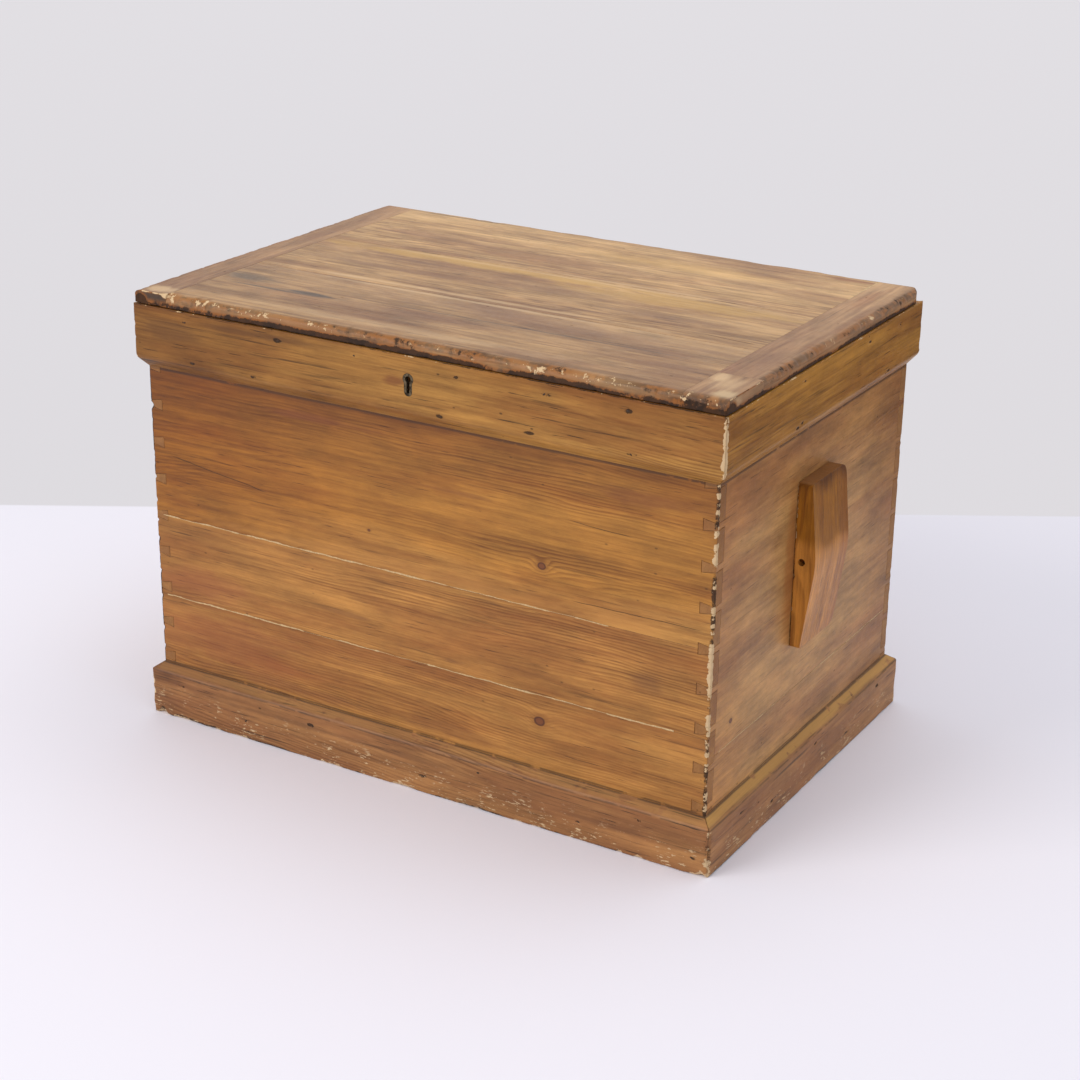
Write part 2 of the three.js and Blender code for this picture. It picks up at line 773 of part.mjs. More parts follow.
caseGroup.add(
  ...caseBoards(),
  ...floorPieces(),
  ...rails(),
  ...ropeCleats(),
  ...keyRing(),
  ...hingePieces.case,
  piece('lock_case', lockCase(), finishes.iron),
  piece('lock_top_plate', lockTopPlate(), finishes.iron),
);
lidGroup.add(
  ...lidPieces(),
  ...hingePieces.lid,
  piece('lock_link_plate', linkPlate(), finishes.iron),
);
chest.add(caseGroup, lidGroup, piece('lock_bolt', lockBolt(), finishes.iron));

export default chest;
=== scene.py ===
import json
import math
from functools import reduce
from operator import mul

import bmesh
import bpy
import numpy as np
from mathutils import Matrix, Vector, noise

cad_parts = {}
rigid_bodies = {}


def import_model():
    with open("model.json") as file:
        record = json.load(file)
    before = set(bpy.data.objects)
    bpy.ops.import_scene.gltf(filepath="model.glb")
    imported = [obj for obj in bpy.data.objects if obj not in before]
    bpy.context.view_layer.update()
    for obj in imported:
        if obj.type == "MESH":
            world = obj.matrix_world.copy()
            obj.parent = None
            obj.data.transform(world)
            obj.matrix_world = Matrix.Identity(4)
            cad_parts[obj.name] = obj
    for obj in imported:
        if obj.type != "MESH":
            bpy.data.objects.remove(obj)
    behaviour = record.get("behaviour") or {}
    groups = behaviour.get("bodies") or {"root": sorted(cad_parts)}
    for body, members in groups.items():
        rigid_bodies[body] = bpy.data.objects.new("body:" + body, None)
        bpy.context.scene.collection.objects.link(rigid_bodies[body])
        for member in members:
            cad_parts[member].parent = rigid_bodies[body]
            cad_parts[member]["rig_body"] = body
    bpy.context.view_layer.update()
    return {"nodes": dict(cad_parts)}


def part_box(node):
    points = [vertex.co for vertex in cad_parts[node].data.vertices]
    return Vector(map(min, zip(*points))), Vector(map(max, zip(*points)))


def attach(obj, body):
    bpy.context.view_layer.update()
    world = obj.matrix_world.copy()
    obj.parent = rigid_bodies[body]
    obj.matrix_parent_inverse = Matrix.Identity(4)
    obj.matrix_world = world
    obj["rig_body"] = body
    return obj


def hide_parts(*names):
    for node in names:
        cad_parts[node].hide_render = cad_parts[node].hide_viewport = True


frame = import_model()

MM = 0.001


def span(start):
    """Lowest and highest corner of all the nodes whose names start with the word."""
    boxes = [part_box(name) for name in frame["nodes"] if name.startswith(start)]
    low = np.min([box[0] for box in boxes], axis=0)
    high = np.max([box[1] for box in boxes], axis=0)
    return low, high


CASE = span("case_")
SKIRT = span("skirt_")
PLINTH = span("plinth_")
LID = span("lid_")
RAIL_BOXES = {"skirt": SKIRT, "plinth": PLINTH}
BOARD_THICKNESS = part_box("case_left_board_lower")[1].x - CASE[0][0]

# Camera as in the photograph: a long lens, a little above the lid and to the right
CAMERA_PLACE = Vector((1.5543, -2.5944, 1.4761))
CAMERA_YAW = 0.53455
CAMERA_PITCH = 0.37938
CAMERA_ROLL = 0.01344
CAMERA_LENS = 73.81
CAMERA_SENSOR = 36.0


def rgb(red, green, blue):
    """A colour given as screen values from 0 to 255, in linear light."""
    def linear(value):
        share = value / 255
        return share / 12.92 if share <= 0.04045 else ((share + 0.055) / 1.055) ** 2.4
    return (linear(red), linear(green), linear(blue), 1.0)


# Materials

class Signal:
    """An output of a node. Sums and products of signals add the nodes that they need."""

    def __init__(self, graph, socket):
        self.graph = graph
        self.socket = socket

    def __add__(self, other):
        return self.graph.math("ADD", self, other)

    def __sub__(self, other):
        return self.graph.math("SUBTRACT", self, other)

    def __mul__(self, other):
        return self.graph.math("MULTIPLY", self, other)

    def __truediv__(self, other):
        return self.graph.math("DIVIDE", self, other)

    __radd__ = __add__
    __rmul__ = __mul__


class Graph:
    """One material and short ways to add nodes to it."""

    def __init__(self, name):
        self.material = bpy.data.materials.new(name)
        self.material.use_nodes = True
        self.tree = self.material.node_tree
        self.shader = self.tree.nodes["Principled BSDF"]
        self.place = self.signal("ShaderNodeTexCoord", output="Object")

    def fill(self, node, inputs):
        """Links or sets the inputs of a node."""
        for key, value in inputs.items():
            if isinstance(value, Signal):
                self.tree.links.new(value.socket, node.inputs[key])
            else:
                node.inputs[key].default_value = value

    def shade(self, inputs):
        self.fill(self.shader, inputs)

    def node(self, kind, inputs=None, **settings):
        made = self.tree.nodes.new(kind)
        for key, value in settings.items():
            setattr(made, key, value)
        self.fill(made, inputs or {})
        return made

    def signal(self, kind, inputs=None, output=0, **settings):
        return Signal(self, self.node(kind, inputs, **settings).outputs[output])

    def math(self, operation, *values, clamp=False):
        inputs = dict(enumerate(values))
        return self.signal("ShaderNodeMath", inputs, operation=operation, use_clamp=clamp)

    def size(self, value):
        return self.math("ABSOLUTE", value)

    def root(self, value):
        return self.math("SQRT", value)

    def larger(self, first, second):
        return self.math("MAXIMUM", first, second)

    def clamped(self, value):
        return self.math("ADD", value, 0.0, clamp=True)

    def fade(self, value, low, high):
        """0 below low and 1 above high, with a smooth rise. High may be the lower one."""
        inputs = {"Value": value, "From Min": low, "From Max": high}
        return self.signal("ShaderNodeMapRange", inputs, interpolation_type="SMOOTHSTEP")

    def split(self, vector):
        made = self.node("ShaderNodeSeparateXYZ", {0: vector})
        return [Signal(self, socket) for socket in made.outputs]

    def join(self, x, y, z):
        return self.signal("ShaderNodeCombineXYZ", {0: x, 1: y, 2: z})

    def noise(self, vector, scale=1.0, detail=2.0, roughness=0.5):
        inputs = {"Vector": vector, "Scale": scale, "Detail": detail, "Roughness": roughness}
        return self.signal("ShaderNodeTexNoise", inputs, output="Fac")

    def mix(self, share, first, second, blend="MIX"):
        inputs = {0: share, 6: first, 7: second}
        return self.signal("ShaderNodeMix", inputs, 2, data_type="RGBA", blend_type=blend)

    def attribute(self, name):
        return self.signal("ShaderNodeAttribute", output="Fac", attribute_name=name)

    def relief(self, height):
        """Bump from a height in millimetres."""
        inputs = {"Height": height, "Distance": MM, "Strength": 1.0}
        self.shade({"Normal": self.signal("ShaderNodeBump", inputs)})


# Screen colours of each kind of pine: early wood, late wood, blotches and streaks
PINES = {
    "case_front": ((188, 134, 66), (126, 78, 32), (140, 84, 38), (72, 42, 20)),
    "case_side": ((190, 142, 84), (144, 98, 54), (156, 102, 58), (90, 60, 36)),
    "skirt": ((178, 128, 62), (118, 74, 32), (132, 80, 36), (56, 36, 20)),
    "plinth": ((176, 124, 72), (116, 72, 38), (132, 82, 48), (62, 42, 26)),
    "lid": ((210, 168, 116), (146, 108, 72), (142, 100, 70), (62, 45, 33)),
    "lid_clamp": ((200, 158, 112), (146, 104, 72), (156, 112, 82), (70, 50, 38)),
    "cleat": ((206, 138, 58), (134, 78, 28), (146, 84, 34), (62, 36, 18)),
    "raw_pine": ((206, 172, 120), (180, 138, 88), (186, 146, 98), (146, 110, 72)),
}
BARE = rgb(218, 190, 150)
BARE_DARK = rgb(196, 160, 116)
# Dark tone of grime, also laid as painted shadow on the lid's lower edges
GRIME_AND_SHADE_TONE = rgb(40, 28, 20)
INSIDE = rgb(198, 160, 108)
INSIDE_LATE = rgb(168, 122, 74)
RIM_TONE = rgb(70, 44, 28)
NOSE_TONE = rgb(142, 85, 32)
NOSE_DIRT = rgb(66, 44, 28)
KNOT_CORE = rgb(112, 62, 34)
KNOT_RIM = rgb(78, 42, 26)

RING_WIDTH = 4.2 * MM
WIDE_DRIFT = 50 * MM
NARROW_DRIFT = 16 * MM
TINT_DRIFT = 100 * MM
CRACK_SWAY = 6 * MM
CRACK_TAPER = 20 * MM
# How deep in its board the bare wood of the inside starts, as shares of the thickness
RAW_SHARES = (0.96, 0.98)

# Looks of a piece of pine that sets nothing else. Its marks are rows of places and sizes
# on the face, in metres along and across the grain, but a knot's size is in millimetres:
# knots: along, across, size
# stains: along, across, half length, half width, strength, colour
# cracks: from and to along, from and to across, width
# seams: across, half width, strength, how broken, colour
# tints: axis, where it starts, where it is full, colour, strength
PINE_LOOKS = dict(
    seed=0.0, lean=0.02, rings=1.0, bands=1.5, blotch=0.6, streak=0.55, streak_from=0.6,
    dashes=0.4, mottle=1.2, specks=0.55, end=(138, 92, 48), end_share=0.6, rim=0.4, nose=0.0,
    rough=0.42, specular=0.28, coat=0.06, inside=None, scuffs=None,
    knots=(), stains=(), cracks=(), seams=(), tints=(),
)


class Pine(Graph):
    """Pine sawn from a log: rings round a pith, streaks, stains, knots and wear.

    The axes are the letters along the grain (u), across it (v) and through the board (w)."""

    def __init__(self, name, kind, axes, looks):
        super().__init__(name)
        self.looks = {**PINE_LOOKS, **looks}
        self.early, self.late, self.blotch, self.streak = [rgb(*tone) for tone in PINES[kind]]
        self.xyz = dict(zip("xyz", self.split(self.place)))
        normal = self.split(self.signal("ShaderNodeTexCoord", output="Normal"))
        self.facing = dict(zip("xyz", normal))
        self.u, self.v, self.w = [self.xyz[letter] for letter in axes]
        self.ends = self.fade(self.size(self.facing[axes[0]]), 0.55, 0.95)
        self.shifted = self.u + self.looks["seed"]
        self.broad = self.grain(2.4, 9.0)
        self.patches = self.grain(3.4, 15.0, 4.0, 0.6)
        self.ragged = self.grain(14.0, 46.0, 3.0, 0.6)
        self.lines = self.grain(5.0, 150.0, 3.0, 0.6)
        self.fibre = self.grain(30.0, 1000.0, 3.0, 0.65)
        self.breaks = self.noise(self.place, 34.0, 3.0, 0.6)
        self.soft = self.noise(self.place, 120.0, 3.0, 0.6)
        self.speckle = self.noise(self.place, 420.0, 3.0, 0.6)

    def stretched(self, along, across):
        """Places in the wood, scaled along and across the grain."""
        return self.join(self.shifted * along, self.v * across, self.w * across)

    def grain(self, along, across, detail=2.0, roughness=0.5):
        return self.noise(self.stretched(along, across), 1.0, detail, roughness)

    def mark(self, tone, *shares):
        """Lays a tone over the colour, by the product of the shares."""
        self.color = self.mix(reduce(mul, shares), self.color, tone)

    def oval(self, u, v, length, width):
        """Square of the distance from a place on the face, in half lengths of an oval."""
        along = (self.u - u) / length
        across = (self.v - v) / width
        return along * along + across * across

    def knot(self, radius, u, v, size):
        """Distance from a knot in its own sizes, and the rings' radius pushed aside round it."""
        square = self.oval(u, v, size * MM, size * MM * 0.8)
        bulge = self.math("POWER", math.e, square * -0.16)
        return self.root(square), radius + bulge * (size * MM * 1.5)

    def stain_and_shade_patch(self, u, v, length, width, strength):
        """Share of a ragged oval patch, for stains and for painted shade beside the cleat."""
        edge = self.root(self.oval(u, v, length, width)) + (self.ragged - 0.5) * 1.6
        return self.fade(edge, 1.15, 0.35) * strength

    def crack(self, start, end, v_start, v_end, width):
        """Share of a fine crack."""
        slope = (v_end - v_start) / (end - start)
        off = self.v - v_start - (self.u - start) * slope + (self.ragged - 0.5) * CRACK_SWAY
        ends = (self.fade(self.u, start, start + CRACK_TAPER)
                * self.fade(self.u, end, end - CRACK_TAPER))
        return self.fade(self.size(off), width, width * 0.25) * ends

    def long_line(self, v, width, strength, broken):
        """Share of an uneven line along the grain, broken by gaps."""
        off = self.size(self.v - v + (self.ragged - 0.5) * width)
        gaps = self.fade(self.breaks, 0.36 + 0.2 * broken, 0.3 + 0.12 * broken)
        return self.fade(off, width, width * 0.3) * self.math("SUBTRACT", 1.0, gaps) * strength

    def specks(self):
        """Share of small dark specks, one in some of the cells of a pattern."""
        inputs = {"Vector": self.stretched(42.0, 74.0), "Scale": 1.0}
        distance = self.signal("ShaderNodeTexVoronoi", inputs, "Distance")
        chance = self.split(self.signal("ShaderNodeTexVoronoi", inputs, "Color"))[0]
        speck = self.fade(distance, 0.14, 0.05) * self.fade(chance, 0.9, 0.93)
        return speck * self.looks["specks"]

    def saw(self, pith):
        """Late wood of the rings round the pith, bent round the knots."""
        lean = self.looks["lean"]
        fine = self.grain(7.0, 60.0)
        off_v = self.v - pith[0] + self.u * lean + (self.broad - 0.5) * WIDE_DRIFT
        off_w = self.w - pith[1] + self.u * (lean * 1.5) + (fine - 0.5) * NARROW_DRIFT
        radius = self.root(off_v * off_v + off_w * off_w)
        self.knots = []
        for spot in self.looks["knots"]:
            distance, radius = self.knot(radius, *spot)
            self.knots.append(distance)
        phase = self.math("FRACT", radius / RING_WIDTH)
        self.line = self.fade(phase, 0.2, 0.85) * self.fade(phase, 1.0, 0.86)
        self.contrast = self.fade(self.grain(1.6, 16.0), 0.42, 0.7)

    def color_grain(self):
        """Early and late wood, then blotches, streaks, short dashes, mottle and tints."""
        looks = self.looks
        bands = self.grain(2.0, 34.0, 3.0, 0.55)
        self.share = (
            self.line * (self.contrast * 0.46 + 0.08) * looks["rings"]
            + (self.lines - 0.5) * 1.5
            + (self.fibre - 0.5) * 0.7
            + (bands - 0.5) * looks["bands"]
            + 0.24
        )
        self.color = self.mix(self.clamped(self.share), self.early, self.late)
        self.mark(self.blotch, self.fade(self.patches, 0.42, 0.66), looks["blotch"])
        streaks = self.fade(self.grain(6.0, 190.0, 3.0, 0.6), looks["streak_from"], 0.76)
        self.mark(self.streak, streaks, looks["streak"])
        dashes = self.fade(self.grain(15.0, 400.0, 2.0, 0.6), 0.63, 0.7)
        self.mark(self.streak, dashes, self.fade(self.patches, 0.36, 0.56), looks["dashes"])
        uneven = self.grain(9.0, 26.0, 6.0, 0.72) - 0.5
        lightness = uneven * looks["mottle"] + 1.0
        shades = self.join(lightness, lightness, lightness)
        self.color = self.mix(1.0, self.color, shades, "MULTIPLY")
        for letter, low, high, tone, strength in looks["tints"]:
            place = self.xyz[letter] + (self.broad - 0.5) * TINT_DRIFT
            share = self.fade(place, low, high) * strength
            self.color = self.mix(share, self.color, rgb(*tone), "MULTIPLY")

    def color_marks(self):
        """Stains, seams and knots, and the dark of cracks and specks; some of the stains and seams
        are painted shade and highlight.
        """
        for *spot, tone in self.looks["stains"]:
            self.mark(rgb(*tone), self.stain_and_shade_patch(*spot))
        for *spot, tone in self.looks["seams"]:
            self.mark(rgb(*tone), self.long_line(*spot))
        for distance in self.knots:
            near = distance + (self.ragged - 0.5) * 0.5
            self.mark(self.late, self.fade(near, 2.6, 0.8), 0.5)
            self.mark(KNOT_CORE, self.fade(near, 1.1, 0.8), 0.9)
            self.mark(KNOT_RIM, self.fade(near, 0.55, 0.85), self.fade(near, 1.2, 0.95), 0.8)
        self.dark = self.specks()
        for spot in self.looks["cracks"]:
            self.dark += self.crack(*spot) * 0.8

    def raw_share(self):
        """1 on the faces inside the chest, which never had a finish."""
        if self.looks["inside"] == "lid":
            return self.fade(self.facing["z"], -0.6, -0.9)
        walls = []
        for axis, letter in enumerate("xy"):
            limits = [CASE[1][axis] - BOARD_THICKNESS * share for share in RAW_SHARES]
            walls.append(self.fade(self.size(self.xyz[letter]), *limits))
        return reduce(mul, walls)

    def color_faces(self):
        """End grain and bare inner faces."""
        self.mark(rgb(*self.looks["end"]), self.ends, self.looks["end_share"])
        self.raw = 0.0
        if self.looks["inside"]:
            self.raw = self.raw_share()
            self.mark(self.mix(self.share * 0.5, INSIDE, INSIDE_LATE), self.raw)

    def color_nose(self, bare, grime):
        """Mottled brown of the handled nosing of the lid."""
        worn = self.clamped(grime * 1.4 + bare * 0.5)
        dirt = self.fade(self.ragged + (self.soft - 0.5) * 0.5, 0.41, 0.6)
        tone = self.mix(dirt * 0.85, NOSE_TONE, NOSE_DIRT)
        self.mark(tone, worn, self.fade(self.patches, 0.2, 0.42), self.looks["nose"])

    def scuffs(self, low, high, amount):
        """Share of flakes near the floor, full below low and gone above high."""
        flecks = self.grain(90.0, 330.0, 4.0, 0.65) + (self.breaks - 0.5) * 0.5 + amount
        return self.fade(flecks, 0.72, 0.8) * self.fade(self.v, high, low)

    def color_wear(self):
        """Darker rims, grime and bare wood, where the mesh is marked as worn; on the lid's lower
        edges the grime mark is painted shadow of the gap under the lid.
        """
        rim, bare, grime = [self.attribute(name) for name in ("rim", "bare", "grime")]
        self.mark(RIM_TONE, rim, self.fade(self.soft, 0.35, 0.6), self.looks["rim"])
        if self.looks["nose"]:
            self.color_nose(bare, grime)
        fine = (self.speckle - 0.5) * 0.7
        smears = (self.noise(self.place, 60.0, 4.0, 0.6) - 0.5) * 2.0 + fine
        # Grime from the mesh marks, with smears; on the lid's lower edges it is painted shadow
        dirt_and_shade = self.fade(grime + smears, 0.55, 0.85)
        self.grime = self.larger(dirt_and_shade, self.clamped(self.dark))
        self.mark(GRIME_AND_SHADE_TONE, self.grime, 0.85)
        chips = (self.noise(self.place, 95.0, 4.0, 0.65) - 0.5) * 2.2 + fine
        self.bare = self.fade(bare + chips, 0.62, 0.76)
        if self.looks["scuffs"]:
            self.bare = self.larger(self.bare, self.scuffs(*self.looks["scuffs"]))
        self.mark(self.mix(self.soft, BARE, BARE_DARK), self.bare)

    def finish(self):
        """Roughness, sheen and relief."""
        dry = self.bare * 0.3 + self.raw * 0.3 + self.grime * 0.35 + self.ends * 0.1
        self.shade({
            "Base Color": self.color,
            "Roughness": self.clamped(dry + (self.soft - 0.5) * 0.2 + self.looks["rough"]),
            "Specular IOR Level": self.looks["specular"],
            "Coat Weight": self.looks["coat"],
            "Coat Roughness": 0.25,
        })
        self.relief(
            self.line * self.contrast * 0.1
            + self.fibre * 0.12
            + self.lines * 0.16
            + self.grain(5.0, 14.0) * 2.2
            + self.soft * 0.12
            + self.grime * -0.25
            + self.bare * self.speckle * -0.3
        )


def pine(name, kind, axes, pith, **looks):
    """Material of one piece, cut from a log with its pith at a place across and through it."""
    wood = Pine(name, kind, axes, looks)
    wood.saw(pith)
    wood.color_grain()
    wood.color_marks()
    wood.color_faces()
    wood.color_wear()
    wood.finish()
    return wood.material


def iron(name, tone, rust):
    """Browned iron with rust in patches."""
    g = Graph(name)
    cloud = g.noise(g.place, 160.0, 5.0, 0.65)
    grit = g.noise(g.place, 1400.0, 3.0, 0.6)
    share = g.fade(cloud, 0.42, 0.62)
    color = g.mix(share, rgb(*tone), rgb(*rust))
    g.shade({"Base Color": color, "Metallic": 0.8, "Roughness": share * 0.3 + grit * 0.1 + 0.42})
    g.relief(cloud * 0.25 + grit * 0.06)
    return g.material


def filler_material():
    """Matt cream filler with a fine mottle."""
    g = Graph("filler")
    tone = rgb(216, 182, 130)
    darker = tuple(0.62 * value for value in tone[:3]) + (1.0,)
    cloud = g.noise(g.place, 300.0, 4.0, 0.6)
    g.shade({"Base Color": g.mix(g.fade(cloud, 0.3, 0.75), darker, tone), "Roughness": 0.6})
    g.relief(cloud * 0.2)
    return g.material


# Worn meshes

WELD = 0.002 * MM
FLAT_ANGLE = math.radians(0.4)
SHARP_ANGLE = math.radians(28)
SMOOTH_ANGLE = math.radians(38)
FINE = 3 * MM
GRADES = (0.14, 0.35, 0.6, 0.9, 1.3, 2.0)
PIT_CUTS = 8
CHIP_GROWTH = 2.4
WOBBLE_VALUES = 2000
# Worn places get a fine roughness: from which mark on, how deep and how close
ROUGH_FROM = 0.3
ROUGH_DEPTH = 0.2 * MM
ROUGH_SCALE = 260


def wobble(places, step, seed):
    """Smooth noise from -1 to 1 along one line, with a new value at every step."""
    values = np.random.default_rng(seed).uniform(-1, 1, WOBBLE_VALUES)
    at = np.asarray(places) / step + WOBBLE_VALUES // 2
    low = np.floor(at).astype(int)
    share = at - low
    share = share * share * (3 - 2 * share)
    return values[low] * (1 - share) + values[low + 1] * share


class Wear:
    """Wear in a part of a mesh, which gets fine faces there."""

    def zone(self):
        """First and last place of the wear by axis."""
        return self.across()

    def touches(self, low, high):
        """Whether the wear reaches into a box."""
        return all(cut[0] < high[axis] and cut[-1] > low[axis]
                   for axis, cut in self.zone().items())


class Arris(Wear):
    """A worn edge along one axis. Each side is its place and the way into the wood."""

    def __init__(self, axis, run, radius, chips=0, size=(3, 14), depth=(1, 4), notches=(),
                 bare=0.5, grime=0.4, spread=1, step=FINE, seed=1, **sides):
        self.axis = "xyz".index(axis)
        self.others = ["xyz".index(letter) for letter in sides]
        self.corner = np.array([side[0] for side in sides.values()])
        self.inward = np.array([side[1] for side in sides.values()])
        self.run = run
        self.radius = radius * MM
        self.bare = bare
        self.grime = grime
        self.spread = spread
        self.step = step
        self.seed = seed
        draw = np.random.default_rng(seed)
        self.chips = [
            (draw.uniform(*run), draw.uniform(*size) * MM, draw.uniform(*depth) * MM)
            for _ in range(chips)
        ]
        self.chips += [(place, half * MM, deep * MM) for place, half, deep in notches]

    def zone(self):
        return {**self.across(), self.axis: self.run}

    def across(self):
        """Where faces are cut beside the arris, by axis."""
        deepest = max([depth for _, _, depth in self.chips], default=0)
        reach = max(self.radius * 1.4 * self.spread,
                    (self.radius + deepest * CHIP_GROWTH) * 0.75)
        cuts = {}
        for other, corner, inward in zip(self.others, self.corner, self.inward):
            steps = [corner + inward * reach * grade for grade in GRADES]
            cuts[other] = sorted([corner - inward * MM] + steps)
        return cuts

    def along(self):
        """The axis of the arris and the places of the fine cuts along it."""
        count = max(2, round((self.run[1] - self.run[0]) / self.step))
        return self.axis, tuple(np.linspace(*self.run, count))

    def measured(self, points):
        """How far each point is along the arris, and how far in from its two sides."""
        return points[:, self.axis], (points[:, self.others] - self.corner) * self.inward

    def radius_at(self, along):
        """The radius that each place along the edge is worn to."""
        radius = self.radius * (1 + 0.3 * wobble(along, 0.06, self.seed))
        radius += self.radius * 0.14 * wobble(along, 0.008, self.seed + 1)
        for place, half, depth in self.chips:
            share = np.clip(1 - np.abs(along - place) / half, 0, 1)
            chipped = self.radius + depth * CHIP_GROWTH * np.sqrt(share) * (share > 0)
            radius = np.maximum(radius, chipped)
        return radius

    def wear(self, points, bare, grime):
        """Rounds the points off to the worn radius and marks what is bare and what is dark: grime,
        and painted shadow on the lid's lower edges.
        """
        along, inner = self.measured(points)
        radius = self.radius_at(along)
        reach = radius[:, None] - inner
        length = np.sqrt((reach ** 2).sum(axis=1))
        held = (inner > -MM).all(axis=1)
        held &= (along > self.run[0] - MM) & (along < self.run[1] + MM)
        near = held & (reach > 0).all(axis=1) & (length > radius)
        worn = inner.copy()
        worn[near] = radius[near, None] - reach[near] * (radius[near] / length[near])[:, None]
        points[:, self.others] = self.corner + worn * self.inward
        away = np.sqrt((inner ** 2).sum(axis=1))
        limit = np.maximum(radius, self.radius * self.spread)
        close = np.clip(1.5 - away / limit, 0, 1) * held
        chipped = np.clip((radius / self.radius - 1.25) / 0.6, 0, 1) * close
        swing = 1 + 0.6 * wobble(along, 0.045, self.seed + 2)
        np.maximum(bare, close * self.bare * swing + chipped * self.bare, out=bare)
        np.maximum(grime, close * self.grime * (2 - swing), out=grime)


class Pit(Wear):
    """A small hollow in a face, such as over a sunk nail: middle, reach, depth and way in."""

    def __init__(self, middle, reach, depth, inward, grime=0.9, bare=0.0):
        self.middle = np.array(middle)
        self.reach = np.array(reach) * MM
        self.depth = depth * MM
        self.inward = np.array(inward)
        self.grime = grime
        self.bare = bare

    def across(self):
        """Where the face is cut, by axis."""
        cuts = {}
        for axis, (middle, reach) in enumerate(zip(self.middle, self.reach)):
            count = PIT_CUTS if self.inward[axis] == 0 else 2
            cuts[axis] = list(np.linspace(middle - reach, middle + reach, count))
        return cuts

    def along(self):
        """No axis, and no fine cuts along it."""
        return None, ()

    def wear(self, points, bare, grime):
        """Sinks the points into the hollow and marks them."""
        away = np.linalg.norm((points - self.middle) / self.reach, axis=1)
        share = np.clip(1 - away, 0, 1)
        points += (self.depth * share ** 0.7)[:, None] * self.inward
        np.maximum(grime, np.minimum(share * 1.6, 1) * self.grime, out=grime)
        np.maximum(bare, np.minimum(share * 1.6, 1) * self.bare, out=bare)


def overlaps(face, cuts):
    """Whether the face reaches into the box from the first to the last cut of each axis."""
    for axis, stations in cuts.items():
        places = [vertex.co[axis] for vertex in face.verts]
        if max(places) < stations[0] or min(places) > stations[-1]:
            return False
    return True


def cut(solid, faces, axis, stations):
    """Cuts the faces at each station and returns the pieces from the first to the last."""
    normal = Vector((0, 0, 0))
    normal[axis] = 1
    between = []
    for station in stations:
        geometry = set(faces)
        for face in faces:
            geometry.update(face.edges)
            geometry.update(face.verts)
        made = bmesh.ops.bisect_plane(
            solid, geom=list(geometry), dist=WELD, plane_co=normal * station, plane_no=normal)
        pieces = [part for part in made["geom"] if isinstance(part, bmesh.types.BMFace)]
        faces = [face for face in pieces if face.calc_center_median()[axis] > station]
        if station != stations[0]:
            between += [face for face in pieces if face.calc_center_median()[axis] <= station]
    return between


def eased_mesh(node, ease, wears):
    """The node's mesh with its sharp edges eased and with fine faces wherever it is worn."""
    solid = bmesh.new()
    solid.from_mesh(frame["nodes"][node].data)
    bmesh.ops.remove_doubles(solid, verts=solid.verts, dist=WELD)
    bmesh.ops.dissolve_limit(
        solid, angle_limit=FLAT_ANGLE, verts=solid.verts, edges=solid.edges)
    layer = solid.faces.layers.float.new("rim")
    sharp = [edge for edge in solid.edges if edge.calc_face_angle(0) > SHARP_ANGLE]
    made = bmesh.ops.bevel(
        solid, geom=sharp, offset=ease, segments=2, profile=0.6, affect="EDGES",
        clamp_overlap=True)
    for face in made["faces"]:
        face[layer] = 1
    strips = {}
    for wear in wears:
        cuts = wear.across()
        faces = [face for face in solid.faces if overlaps(face, cuts)]
        for axis, stations in cuts.items():
            faces = cut(solid, faces, axis, stations)
        strips.setdefault(wear.along(), []).append(cuts)
    for (axis, stations), zones in strips.items():
        if stations:
            faces = [face for face in solid.faces
                     if any(overlaps(face, {**cuts, axis: stations}) for cuts in zones)]
            cut(solid, faces, axis, stations)
    mesh = bpy.data.meshes.new(f"worn_{node}")
    solid.to_mesh(mesh)
    solid.free()
    return mesh


def placed(name, data):
    """A new object of the data, in the scene."""
    made = bpy.data.objects.new(name, data)
    bpy.context.scene.collection.objects.link(made)
    return made


def cover(mesh, material):
    mesh.materials.clear()
    mesh.materials.append(material)


def new_piece(mesh, material, body):
    """An object of the mesh, smooth but for its sharp edges, that rides on the body."""
    cover(mesh, material)
    mesh.shade_smooth()
    mesh.set_sharp_from_angle(angle=SMOOTH_ANGLE)
    piece = placed(mesh.name, mesh)
    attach(piece, body)
    return piece


def worn_piece(node, material, wears, ease):
    """A detailed copy of a node's solid with eased and worn edges, in the node's place."""
    wears = [wear for wear in wears if wear.touches(*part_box(node))]
    mesh = eased_mesh(node, ease * MM, wears)
    points = np.zeros(len(mesh.vertices) * 3)
    mesh.vertices.foreach_get("co", points)
    points = points.reshape(-1, 3)
    bare = np.zeros(len(points))
    grime = np.zeros(len(points))
    for wear in wears:
        wear.wear(points, bare, grime)
    for i in np.flatnonzero(np.maximum(bare, grime) > ROUGH_FROM):
        points[i] += ROUGH_DEPTH * np.array(noise.noise_vector(Vector(points[i]) * ROUGH_SCALE))
    mesh.vertices.foreach_set("co", points.ravel())
    for key, values in (("bare", bare), ("grime", grime)):
        made = mesh.attributes.new(key, "FLOAT", "POINT")
        made.data.foreach_set("value", values.astype(np.float32))
    piece = new_piece(mesh, material, frame["nodes"][node]["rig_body"])
    piece.modifiers.new("weighted", "WEIGHTED_NORMAL").keep_sharp = True
    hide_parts(node)


def timber(node, kind, axes, pith, wears=(), ease=0.7, **looks):
    """The worn piece of a wooden node, with a material of its own."""
    worn_piece(node, pine(node, kind, axes, pith, **looks), wears, ease)


# Wear of the outer edges: radii and chips in millimetres, places along an edge in metres

